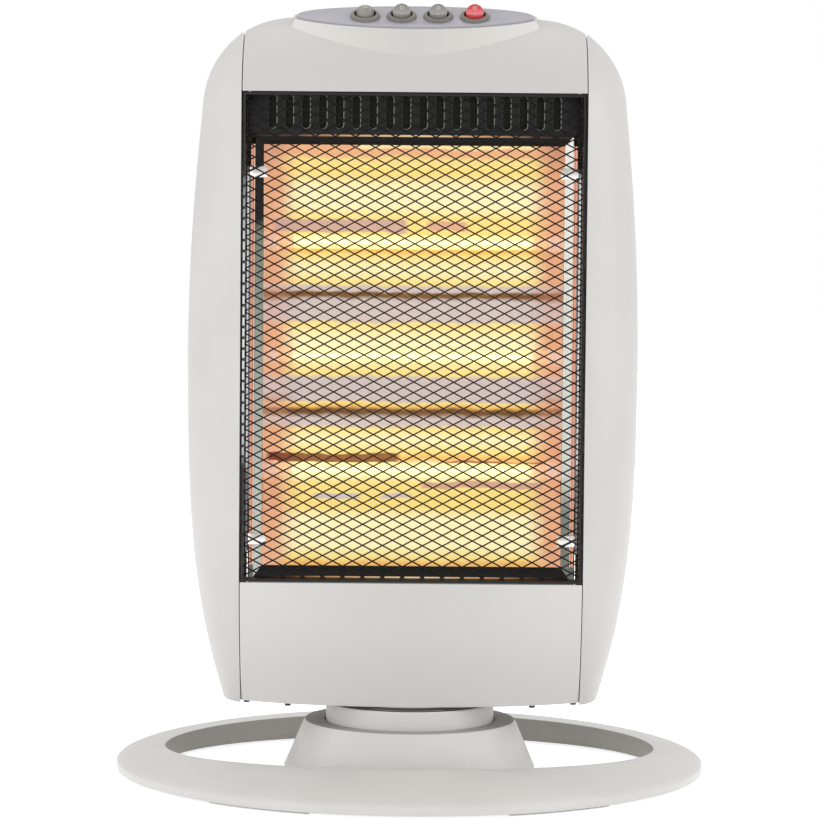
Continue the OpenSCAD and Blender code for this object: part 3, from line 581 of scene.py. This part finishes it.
def quartz():
    """Clear fused quartz tube with the warm light of the coil inside it."""
    made, tree, place = material("fused_quartz_with_light_inside")
    draw = add(tree, "Mapping", {"Scale": (0.05, 1.0, 1.0)}, {"Vector": place})
    lines = add(tree, "TexNoise", {"Scale": 1 / (1.11 * MM), "Detail": 2.0}, {"Vector": draw})
    bump = add(tree, "Bump", {"Strength": 0.1, "Distance": 0.02 * MM}, {"Height": lines})
    warmth = across(tree, place, [(0, "#FFE98C"), (83, "#FFE98C"), (86, "#C9784A"), (98, "#8A4A2C")])
    return surfaced(made, {"Base Color": linear("#FFF9DE"), "Roughness": 0.04, "IOR": 1.458,
                           "Alpha": 0.36, "Emission Strength": 0.6},
                    {"Normal": bump, "Emission Color": warmth})


def make_finishes(colours):
    """Every finish of the heater, by the name that the pieces use."""
    body, panel, bezel, rocker, power, enamel = [
        hex_code(getattr(colours, key)) for key in ("body", "panel", "bezel", "rocker", "power", "enamel")]
    return {
        # spark-eroded ABS: a soft satin sheen that never mirrors, and a barely seen drift of tone
        "white": moulding("moulded_abs_warm_white", body, 0.42),
        # the same moulding with painted light and shade: darker on the top, lighter towards the ends of the
        # pod's front wall and of the front, and lighter all over the base
        "top": moulding("moulded_abs_warm_white_with_painted_shade_on_top", [(0, "#CDCBC8"), (115, "#CFCDCA")], 0.42),
        "pod": moulding("moulded_abs_warm_white_with_painted_light_on_pod",
                        [(0, "#D1CFCB"), (35, "#D5D4CF"), (60, "#DBDAD5"), (88, "#E2E1DF")], 0.42),
        "front": moulding("moulded_abs_warm_white_with_painted_light_on_front",
                          [(0, "#D4D2CF"), (50, "#D7D5D2"), (110, "#DEDCD9")], 0.42),
        "base": moulding("moulded_abs_warm_white_with_painted_light_on_base", "#DAD8D5", 0.42),
        # the panel is a smoother, cooler ABS insert, so its highlight is a little tighter
        "panel": moulding("satin_abs_lavender_grey", panel, 0.34, grain=0.3, depth=0.006),
        # nylon bezel, semi-matt with an olive cast
        "bezel": moulding("satin_nylon_olive_grey", bezel, 0.36, 1.53, 0.35, 0.008, 0.05),
        # polished nylon caps with a small bright highlight
        "rocker": moulding("polished_nylon_grey", rocker, 0.22, 1.53, 0.6, 0.004, 0.04),
        # tinted polycarbonate cap over its lamp, so that the red looks deep and slightly lit
        "power": moulding("polished_polycarbonate_red", power, 0.16, 1.585, 0.6, 0.003, 0.06,
                          **{"Coat Weight": 0.4, "Emission Color": linear(power),
                             "Emission Strength": 0.12}),
        # stove enamel sprayed on steel: near black, half gloss, with a slight orange peel
        "enamel": moulding("stove_enamel_black", enamel, 0.38, 1.5, 1.4, 0.03, 0.15,
                           **{"Specular IOR Level": 0.35}),
        # a thin, matt print in the dish of each cap
        "mark": moulding("pad_printed_ink_white", "#E8E6E0", 0.5, 1.5, 0.3, 0.003),
        # heat-resistant polyester: dull and dark, with a coarse grain; also painted as shade on the collar
        # in its gaps and on the lugs under the body
        "dark": moulding("moulded_polyester_black_and_painted_shade", "#242426", 0.5, 1.57, 0.5, 0.02, 0.1),
        # acetal has a waxy ivory look
        "acetal": moulding("moulded_acetal_ivory", "#DAD7CC", 0.36, 1.48, 0.5, 0.008),
        # soft rubber feet: no gloss at all
        "rubber": moulding("soft_rubber_pale_grey", "#DDDBD6", 0.72, 1.52, 0.5, 0.03, 0.05),
        # glazed steatite: a thin wet gloss, with painted copper-red light from the tubes beside it
        "ceramic": tube_lit("glazed_steatite_in_copper_light", "#E9E5DC", 0.2,
                            [(90, "#A8623F"), (106, "#B06A48"), (119, "#6A3A26")]),
        # zinc plate on rolled steel: grey with short rolling marks
        "zinc": metal("zinc_plated_steel", "#B9BBBD", 0.34, (1.0, 1.0, 6.0), 0.5),
        # bright flange of the reflector, mirror-like but not perfect
        "bright": metal("bright_rolled_aluminium", "#DAD8D4", 0.2, (1.0, 1.0, 8.0), 0.6, 0.004),
        "lit": lit_reflector(),
        # tungsten at working heat, close to white
        "coil": glowing("tungsten_at_white_heat", "#FFFBE2"),
        # painted light: the strands pass before the bright trough, so they show olive brown in the middle,
        # red brown past the hot length
        "strands": tube_lit("strand_enamel_in_warm_light", "#060505", 0.5,
                            [(0, "#33210E"), (80, "#33210E"), (92, "#230F08"), (106, "#180805"),
                             (109, "#020202")], 145.5, 0.2),
        # enamel edge with the tubes' light painted on as a thin warm line, fading to its ends
        "warm_edge": tube_lit("enamel_edge_in_warm_light", enamel, 0.38,
                              [(0, "#E8C79A"), (55, "#B98A5E"), (85, "#4A2A1C"), (105, "#120A08")], 165.0),
        # flange of the mirror-bright end wall, with painted copper-red light beside the window
        "copper_edge": tube_lit("bright_aluminium_in_copper_light", "#8A6A58", 0.3,
                                [(112.1, "#F0DCC6"), (112.6, "#E6C6AE"), (113.1, "#B0583E"),
                                 (113.5, "#B0583E"), (113.9, "#D99A82"), (115, "#D99A82")], 152.0),
        # side rails of the window and the sheet beside them, with painted reflections of the grille and the
        # room, and painted shade on the sheet near its top
        "rail_left": zoned("rail_with_painted_reflection_left",
                           [(120, "#CDD2CC"), (200, "#BCC3BC"), (300, "#98A098"), (385, "#757C72"),
                            (395, "#0B0A0A")], 0.4),
        "rail_right": zoned("rail_with_painted_reflection_right",
                            [(120, "#6F756F"), (190, "#7C827C"), (215, "#CFD3CD"), (330, "#DCDED8"),
                             (460, "#F0F0ED")], 0.4),
        "sheet": zoned("zinc_sheet_with_painted_reflection_and_shade",
                       [(120, "#8A8C8A"), (214, "#8A8C8A"), (224, "#E8EAEA"), (424, "#E8EAEA"),
                        (430, "#0C0C08")], 0.3, 0.5),
        # painted light on the frame's left bar: the lit sheet painted in scallops between the ends of the
        # strands
        "scallops": zoned("painted_light_of_the_sheet_between_strand_ends",
                          [(222, GAP_BLACK), (230, "#9AA2A2"), (300, "#C4CACA"), (380, "#B4BABA"),
                           (400, "#8A9292"), (420, "#6C7474"), (428, GAP_BLACK)], 0.45, 0.1, 0.3, 7.6),
        # the same enamel on the slotted plate, with painted highlights on the rims of its slots
        "plate": rimmed_enamel(enamel, "#9A9A92"),
        # the same moulding in the shade, inside the ring and under the body
        "shade": moulding("moulded_abs_in_the_shade", "#A39F9A", 0.5),
        # drawn quartz: clear and bright, with the coil's light in it
        "quartz": quartz(),
    }


# ---------- what a user would change ----------

class HeaterSizes(bpy.types.PropertyGroup):
    """Sizes of the visible detail."""

    moulded_edge: bpy.props.FloatProperty(
        name="Moulded edge", description="Rounding of the plastic mouldings' edges", default=0.0007,
        min=0.0002, max=0.001, unit="LENGTH")
    pressed_edge: bpy.props.FloatProperty(
        name="Pressed edge", description="Rounding of the sheet metal pieces' edges", default=0.0003,
        min=0.0001, max=0.0004, unit="LENGTH")
    coil_radius: bpy.props.FloatProperty(
        name="Coil radius", description="Radius of the coil in a tube", default=0.0015, min=0.001,
        max=0.002, unit="LENGTH")
    coil_pitch: bpy.props.FloatProperty(
        name="Coil pitch", description="Distance from one turn of a coil to the next", default=0.0016,
        min=0.001, max=0.003, unit="LENGTH")
    camera_distance: bpy.props.FloatProperty(
        name="Camera distance", description="Distance from the camera to the middle of the heater",
        default=2.4, min=1.5, max=4.0, unit="LENGTH")
    camera_pitch: bpy.props.FloatProperty(
        name="Camera pitch", description="How far the camera looks down", default=math.radians(3.4),
        unit="ROTATION")


def colour_property(name, description, code):
    """A colour that a user can change, given as a hex colour."""
    return bpy.props.FloatVectorProperty(name=name, description=description, subtype="COLOR", size=3,
                                         min=0.0, max=1.0, default=linear(code)[:3])


class HeaterColours(bpy.types.PropertyGroup):
    """Colours of the finishes."""

    body: colour_property("Body", "Warm white of the body and base", "#D3D1CE")
    panel: colour_property("Control panel", "Lavender grey of the control panel", "#A9A8AF")
    bezel: colour_property("Bezels", "Olive grey of the rings round the switches", "#7D7870")
    rocker: colour_property("Rockers", "Grey of the plain rockers", "#8F8C87")
    power: colour_property("Power rocker", "Red of the power rocker", "#C8323F")
    enamel: colour_property("Enamel", "Black of the grille and its frame", "#0E0D0D")


# ---------- the pieces ----------

class HEATER_OT_stage(bpy.types.Operator):
    """White floor, soft lights, white surroundings and the camera"""

    bl_idname = "heater.stage"
    bl_label = "Stage"

    def execute(self, context):
        scene = context.scene
        scene.view_settings.view_transform = "Standard"
        self.camera(scene)
        self.surroundings(scene)
        self.floor()
        self.lights()
        return {"FINISHED"}

    def camera(self, scene):
        sizes = scene.heater_sizes
        pitch = sizes.camera_pitch
        away = Vector((0, -math.cos(pitch), math.sin(pitch))) * sizes.camera_distance
        bpy.ops.object.camera_add(location=CAMERA_AIM + away)
        camera = bpy.context.object
        camera.name = "camera_front"
        roll = Euler((0, 0, CAMERA_ROLL)).to_quaternion()
        camera.rotation_euler = ((-away).to_track_quat("-Z", "Y") @ roll).to_euler()
        camera.data.sensor_width = SENSOR_WIDTH
        camera.data.lens = SENSOR_WIDTH / 2 / math.tan(HALF_VIEW)
        camera.data.clip_end = 60
        scene.camera = camera

    def seen_by(self, tree, *rays):
        """1 for what rays of these kinds see, and otherwise 0."""
        path = add(tree, "LightPath")
        seen = path.outputs[rays[0]]
        for ray in rays[1:]:
            seen = add(tree, "Math", links={0: seen, 1: path.outputs[ray]}, operation="MAXIMUM")
        return seen

    def surroundings(self, scene):
        """White to the camera and through glass, and a little dimmer as light on the heater."""
        world = scene.world or bpy.data.worlds.new("surroundings")
        scene.world = world
        world.use_nodes = True
        tree = world.node_tree
        tree.nodes.clear()
        dim, white = [add(tree, "Background", {"Color": linear("#FFFFFF"), "Strength": strength})
                      for strength in (SKY_LIGHT, 1.0)]
        seen = self.seen_by(tree, "Is Camera Ray", "Is Transmission Ray")
        mixed = add(tree, "MixShader", links={0: seen, 1: dim, 2: white})
        add(tree, "OutputWorld", links={"Surface": mixed})

    def floor(self):
        """A white board that keeps the heater's shadow, lifted to white where it is seen."""
        bpy.ops.mesh.primitive_plane_add(size=12, location=(0, 0, -0.0002))
        floor = bpy.context.object
        floor.name = "studio_floor"
        bpy.ops.object.transform_apply(location=True)
        made, tree, place = material("painted_board_white")
        grain = add(tree, "TexNoise", {"Scale": 1 / (25 * MM)}, {"Vector": place})
        tone = add(tree, "ValToRGB", links={"Fac": grain},
                   stops=[(0.0, linear("#F6F6F6")), (1.0, linear("#FFFFFF"))])
        board = add(tree, "BsdfDiffuse", links={"Color": tone})
        seen = self.seen_by(tree, "Is Camera Ray", "Is Glossy Ray", "Is Transmission Ray")
        lift = add(tree, "Math", {1: FLOOR_LIFT}, {0: seen}, operation="MULTIPLY")
        shine = add(tree, "Emission", {"Color": linear("#FFFFFF")}, {"Strength": lift})
        both = add(tree, "AddShader", links={0: board, 1: shine})
        add(tree, "OutputMaterial", links={"Surface": both})
        floor.data.materials.append(made)

    def lights(self):
        """Large soft boxes that face the middle of the heater."""
        for name, place, power in SOFTBOXES:
            bpy.ops.object.light_add(type="AREA", location=place)
            light = bpy.context.object
            light.name = name
            light.data.size = SOFTBOX_SIZE
            light.data.energy = power
            light.rotation_euler = (LIGHT_AIM - light.location).to_track_quat("-Z", "Y").to_euler()


class HEATER_OT_base(bpy.types.Operator):
    """Domed base ring, hub, feet and the steel plate under them"""

    bl_idname = "heater.base"
    bl_label = "Base"

    def execute(self, context):
        edge = context.scene.heater_sizes.moulded_edge / MM
        # the ring and the hub take the base finish, the moulding painted lighter, with painted shade inside
        # the ring and on the hub's deck
        ring = dressed("base_ring", "ring_moulding", "base", "white_plastic", "base", edge)
        painted(ring, "shade", self.inward)
        hub = dressed("hub_cover", "hub_moulding", "base", "white_plastic", "base", edge * 1.4)
        painted(hub, "shade", self.on_deck)
        dressed("foot_pads", "soft_feet", "base", "foot_rubber", "rubber", 0.4)
        dressed("base_plate", "steel_plate", "base", "zinc_steel", "zinc", 0.3)
        return {"FINISHED"}

    def inward(self, face):
        """Whether a face of the ring looks in towards the axis, low enough to lie in the shade."""
        out = face.center.xy.to_3d()
        return out.length > RING_WALL_R * MM and face.normal.dot(out.normalized()) < -0.6

    def on_deck(self, face):
        """Whether a face is on the hub's flat deck, in the shade of the body."""
        return face.normal.z > 0.9 and face.center.z > DECK_Z * MM


class HEATER_OT_shell(bpy.types.Operator):
    """Smooth mouldings of the body: sides, top with its pod, front below the grille, and back"""

    bl_idname = "heater.shell"
    bl_label = "Body mouldings"

    def execute(self, context):
        edge = context.scene.heater_sizes.moulded_edge / MM
        for side in ("left", "right"):
            self.moulded(f"side_panel_{side}", f"side_moulding_{side}", "white", edge)
        # painted light and shade: the top takes a darker copy of the moulding, and the pod's front wall one
        # that is lighter towards its ends
        top = self.moulded("upper_housing", "top_moulding", "top", edge, self.on_pod_wall)
        painted(top, "pod", self.on_pod_wall)
        # painted light: the front below the grille takes a copy of the moulding that is lighter towards its
        # ends
        self.moulded("front_lower_panel", "front_moulding", "front", edge, self.on_upright_field)
        dressed("back_cover", "back_moulding", "head", "white_plastic", "white", 0.35, quads)
        # the collar takes the base finish, the moulding painted lighter
        collar = dressed("turntable", "swivel_collar", "head", "white_plastic", "base", edge, self.levelled)
        # painted shadow: the collar's faces in the gaps under the body and at the deck get the dark finish
        painted(collar, "dark", self.in_gap)
        tray = dressed("body_tray", "body_floor", "head", "white_plastic", "white", 0.3)
        # painted shade: the small lugs under the body get the dark finish
        painted(tray, "dark", self.on_lug)
        return {"FINISHED"}

    def moulded(self, node, name, finish, edge, crisp=None):
        """A faceted shell made smooth, but for the outline of the faces that stay crisp."""
        piece = merged_copy(node, name)
        quads(piece)
        rounded(piece, edge * 0.8, 2, 42)
        if crisp:
            creased(piece, crisp)
        modified(piece, "SUBSURF", levels=2, render_levels=2)
        smooth(piece, 60)
        fitted(piece, "head", "white_plastic", finish, node)
        return piece

    def levelled(self, piece):
        """Whole faces, cut where the gap at the deck ends and the one under the body begins."""
        flats(piece)
        cut_level(piece, DECK_LINE, GAP_LOW)

    def in_gap(self, face):
        """Whether a face of the collar lies in the gap under the body or in the one at the deck."""
        out = face.center.xy.length / MM
        height = face.center.z / MM
        under_body = height > GAP_LOW and out > BODY_GAP_R
        return under_body or (out > DECK_GAP_R and DECK_Z < height < DECK_LINE)

    def on_lug(self, face):
        """Whether a face is on the small lugs under the body."""
        return face.center.z < LUG_TOP * MM

    def on_pod_wall(self, face):
        """Whether a face belongs to the pod's front wall, which leans out."""
        lean = Vector((0, -math.sin(POD_LEAN), -math.cos(POD_LEAN)))
        return face.center.z > POD_LOW * MM and face.center.y < 0 and abs(face.normal.dot(lean)) < 0.03

    def on_upright_field(self, face):
        """Whether a face belongs to the upright field above the front's arched crease."""
        return face.normal.y < -0.9995 and abs(face.center.y + BODY_FRONT * MM) < 0.1 * MM


class HEATER_OT_grille(bpy.types.Operator):
    """Diamond grille, its frame and clips, and the slotted plate above the reflector"""

    bl_idname = "heater.grille"
    bl_label = "Grille"

    def execute(self, context):
        edge = context.scene.heater_sizes.pressed_edge / MM
        dressed("guard_mesh", "grille_strands", "head", "black_steel", "strands", 0.24)
        bars = dressed("guard_frame", "grille_frame", "head", "black_steel", "enamel", edge, quads)
        # painted light: the lit sheet's scallops on the front of the frame's left bar
        painted(bars, "scallops", lambda face: face.normal.y < -0.5 and face.center.x < -SIDE_BAR_X * MM)
        dressed("guard_clips", "grille_clips", "head", "zinc_steel", "bright", 0.2)
        # painted highlights on the rims of the plate's slots
        dressed("vent_plate", "slotted_plate", "head", "black_steel", "plate", edge)
        self.window_frame(edge)
        return {"FINISHED"}

    def window_frame(self, edge):
        """The reflector's frame, painted before its edges are rounded, so that they follow their bars."""
        piece = merged_copy("reflector_frame", "window_frame")
        quads(piece)
        fitted(piece, "head", "black_steel", "enamel", "reflector_frame")
        half = WINDOW_HALF * MM
        # painted light: a warm line of the tubes' light on the front faces of the bars
        painted(piece, "warm_edge", lambda face: face.normal.y < -0.99 and abs(face.center.x) < half)
        # painted reflections of the grille and the room on the window's side rails
        painted(piece, "rail_left", lambda face: face.center.x < -half)
        painted(piece, "rail_right", lambda face: face.center.x > half)
        rounded(piece, edge)
        smooth(piece)


class HEATER_OT_reflector(bpy.types.Operator):
    """Polished reflector with its end walls, and the tubes in front of it"""

    bl_idname = "heater.reflector"
    bl_label = "Reflector and tubes"

    def execute(self, context):
        piece = merged_copy("reflector", "reflector_sheet")
        flats(piece, 0.3)
        smooth(piece, 20)
        # the tubes' reflection is painted on the sheet as warm light
        fitted(piece, "head", "mirror_aluminium", "lit", "reflector")
        for side in ("left", "right"):
            wall = dressed(f"reflector_end_{side}", f"reflector_wall_{side}", "head", "mirror_aluminium",
                           "bright", 0.2)
            # painted copper-red light on the front of each end wall's flange
            painted(wall, "copper_edge", lambda face: face.normal.y < -0.9)
        self.tubes(context.scene.heater_sizes)
        return {"FINISHED"}

    def tubes(self, sizes):
        """Three glass tubes with domed ends, a coil in each and a ceramic cap on each end."""
        outer = ((5.0, 93.0), (4.7, 95.4), (3.8, 97.0), (2.2, 97.8), (0.02, 98.0))
        inner = ((0.02, 96.6), (2.6, 96.0), (3.7, 94.4), (4.0, 92.4))
        glass_profile = (*[(radius, -height) for radius, height in reversed(outer)], *outer,
                         *inner, *[(radius, -height) for radius, height in reversed(inner)])
        cap_profile = ((5.1, 96.2), (5.6, 96.0), (6.2, 96.6), (6.2, 101.0), (5.7, 101.4), (5.7, 102.2),
                       (6.2, 102.6), (6.2, 117.4), (5.6, 118.0), (0.02, 118.0))
        glasses, coils, caps = [], [], []
        for number, height in enumerate(TUBE_HEIGHTS):
            place = (0, TUBE_Y, height)
            glasses.append(turned(f"glass_{number}", glass_profile, 32))
            coils.append(self.coil(f"coil_{number}", sizes))
            for piece in (glasses[-1], coils[-1]):
                set_down(piece, place, (0, math.pi / 2, 0))
            for turn in (math.pi / 2, -math.pi / 2):
                caps.append(turned(f"cap_{number}", cap_profile, 32))
                set_down(caps[-1], place, (0, turn, 0))
        for parts, name, finish, slot, node in (
                (glasses, "quartz_tubes", "quartz", "quartz", "tube_glass"),
                (coils, "tungsten_coils", "coil", "tungsten", "tube_filaments"),
                (caps, "ceramic_ends", "ceramic", "ceramic_white", "tube_caps")):
            piece = joined(parts, name)
            smooth(piece, 40)
            fitted(piece, "head", slot, finish, node)

    def coil(self, name, sizes):
        """A wire ring beside the axis, screwed along it into a coil."""
        length = HOT_LENGTH * MM
        wire = 0.42 * MM
        bpy.ops.mesh.primitive_circle_add(vertices=6, radius=wire, rotation=(math.pi / 2, 0, 0),
                                          location=(sizes.coil_radius - wire, 0, -length / 2))
        coil = started(name)
        modified(coil, "SCREW", axis="Z", screw_offset=sizes.coil_pitch,
                 iterations=int(length / sizes.coil_pitch), steps=10, render_steps=10,
                 use_merge_vertices=False)
        edit_all(coil)
        bpy.ops.mesh.normals_make_consistent(inside=False)
        close_edit()
        return coil


class HEATER_OT_controls(bpy.types.Operator):
    """Control panel with its bezels and dished rockers"""

    bl_idname = "heater.controls"
    bl_label = "Controls"

    def execute(self, context):
        dressed("control_panel", "panel_insert", "head", "panel_plastic", "panel", 0.4)
        profile = ((7.8, 0.0), (10.3, 0.0), (10.5, 0.2), (10.5, 0.7), (10.3, 1.0), (9.5, 1.9), (9.2, 2.1),
                   (8.4, 2.38), (8.1, 2.38), (7.85, 2.2), (7.8, 1.9), (7.8, 0.0))
        bezels = [turned(f"bezel_{number}", profile) for number in range(4)]
        for number, bezel in enumerate(bezels):
            set_down(bezel, self.seat(number, 0), (PANEL_TILT, 0, 0))
        rings = joined(bezels, "switch_rings")
        smooth(rings, 40)
        fitted(rings, "head", "bezel_plastic", "bezel", "switch_bezels")
        for number, (node, body, finish, slot, turn) in enumerate((
                ("rocker_swing", "swing_rocker", "rocker", "rocker_grey", -15),
                ("rocker_tube_1", "first_rocker", "rocker", "rocker_grey", 15),
                ("rocker_tube_2", "second_rocker", "rocker", "rocker_grey", 15),
                ("rocker_power", "power_rocker", "power", "rocker_red", 15))):
            cap = self.rocker(f"{node}_cap")
            marks = self.marks(f"{node}_marks")
            for piece in (cap, marks):
                set_down(piece, self.seat(number, -PIVOT_DROP), (PANEL_TILT + math.radians(turn), 0, 0))
            fitted(cap, body, slot, finish, node)
            fitted(marks, body, slot, "mark")
        return {"FINISHED"}

    def seat(self, number, rise):
        """A switch's place on the panel, in millimetres, raised out of the panel."""
        return (SWITCH_SHIFT + (number - 1.5) * SWITCH_PITCH, PANEL_Y - rise * math.sin(PANEL_TILT),
                PANEL_Z + rise * math.cos(PANEL_TILT))

    def rocker(self, name):
        """A round cap about its pivot, with a dish across its row."""
        low = 4.0
        bpy.ops.mesh.primitive_cylinder_add(vertices=64, radius=ROCKER_R * MM, depth=(low + ROCKER_LIP) * MM,
                                            location=(0, 0, (ROCKER_LIP - low) / 2 * MM))
        cap = started(name)
        bpy.ops.mesh.primitive_cylinder_add(vertices=128, radius=DISH_R * MM, depth=40 * MM,
                                            rotation=(0, math.pi / 2, 0), location=(0, 0, DISH_Z * MM))
        cutter = bpy.context.object
        modified(cap, "BOOLEAN", operation="DIFFERENCE", object=cutter, solver="EXACT")
        bpy.data.objects.remove(cutter)
        flats(cap, 0.2)
        rounded(cap, 0.45, 3, 30)
        smooth(cap, 30)
        return cap

    def marks(self, name):
        """The plain O and I on the two halves of the dish."""
        reach = 3.4
        dip = math.asin(reach / DISH_R)
        height = DISH_Z - DISH_R * math.cos(dip)
        bpy.ops.mesh.primitive_torus_add(major_radius=1.2 * MM, minor_radius=0.22 * MM, major_segments=32,
                                         minor_segments=8)
        ring = bpy.context.object
        set_down(ring, (0, reach, height), (dip, 0, 0))
        bpy.ops.mesh.primitive_cube_add(size=1 * MM)
        bar = bpy.context.object
        edit_all(bar)
        bpy.ops.transform.resize(value=(0.42, 2.0, 0.3), center_override=(0, 0, 0))
        close_edit()
        rounded(bar, 0.1)
        set_down(bar, (0, -reach, height), (-dip, 0, 0))
        marks = joined([ring, bar], name)
        smooth(marks, 50)
        return marks


class HEATER_OT_inside(bpy.types.Operator):
    """Finishes of the pieces inside and of the small hardware"""

    bl_idname = "heater.inside"
    bl_label = "Hardware"

    def execute(self, context):
        for names, finish in (
                (("hub_screws", "base_screws", "turntable_screws", "back_screws", "swing_motor",
                  "tube_bracket_left", "tube_bracket_right"), "zinc"),
                (("chassis",), "sheet"),
                (("crank_guide", "tip_plunger", "slide_ring", "motor_crank", "terminal_block"), "acetal"),
                (("tip_switch", "cable_gland", "thermal_cutout", "switch_cases"), "dark")):
            for name in names:
                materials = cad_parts[name].data.materials
                materials.clear()
                materials.append(FINISHES[finish])
        # only the front of the sheet keeps its painted reflection and shade; its other faces are plain zinc
        painted(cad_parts["chassis"], "zinc", lambda face: face.normal.y > -0.5)
        return {"FINISHED"}


class HEATER_PT_panel(bpy.types.Panel):
    """Sidebar list of the heater's operators and settings"""

    bl_idname = "HEATER_PT_panel"
    bl_label = "Halogen heater"
    bl_space_type = "VIEW_3D"
    bl_region_type = "UI"
    bl_category = "Heater"

    def draw(self, context):
        for step in STEPS:
            self.layout.operator(step.bl_idname)
        for group in (context.scene.heater_sizes, context.scene.heater_colours):
            for key in group.__annotations__:
                self.layout.prop(group, key)


STEPS = (HEATER_OT_stage, HEATER_OT_base, HEATER_OT_shell, HEATER_OT_grille, HEATER_OT_reflector,
         HEATER_OT_controls, HEATER_OT_inside)
CLASSES = (HeaterSizes, HeaterColours, *STEPS, HEATER_PT_panel)


def register():
    for cls in CLASSES:
        bpy.utils.register_class(cls)
    bpy.types.Scene.heater_sizes = bpy.props.PointerProperty(type=HeaterSizes)
    bpy.types.Scene.heater_colours = bpy.props.PointerProperty(type=HeaterColours)


def unregister():
    del bpy.types.Scene.heater_colours
    del bpy.types.Scene.heater_sizes
    for cls in reversed(CLASSES):
        bpy.utils.unregister_class(cls)


def main():
    register()
    FINISHES.update(make_finishes(bpy.context.scene.heater_colours))
    for step in STEPS:
        area, action = step.bl_idname.split(".")
        getattr(getattr(bpy.ops, area), action)()


if __name__ == "__main__":
    main()
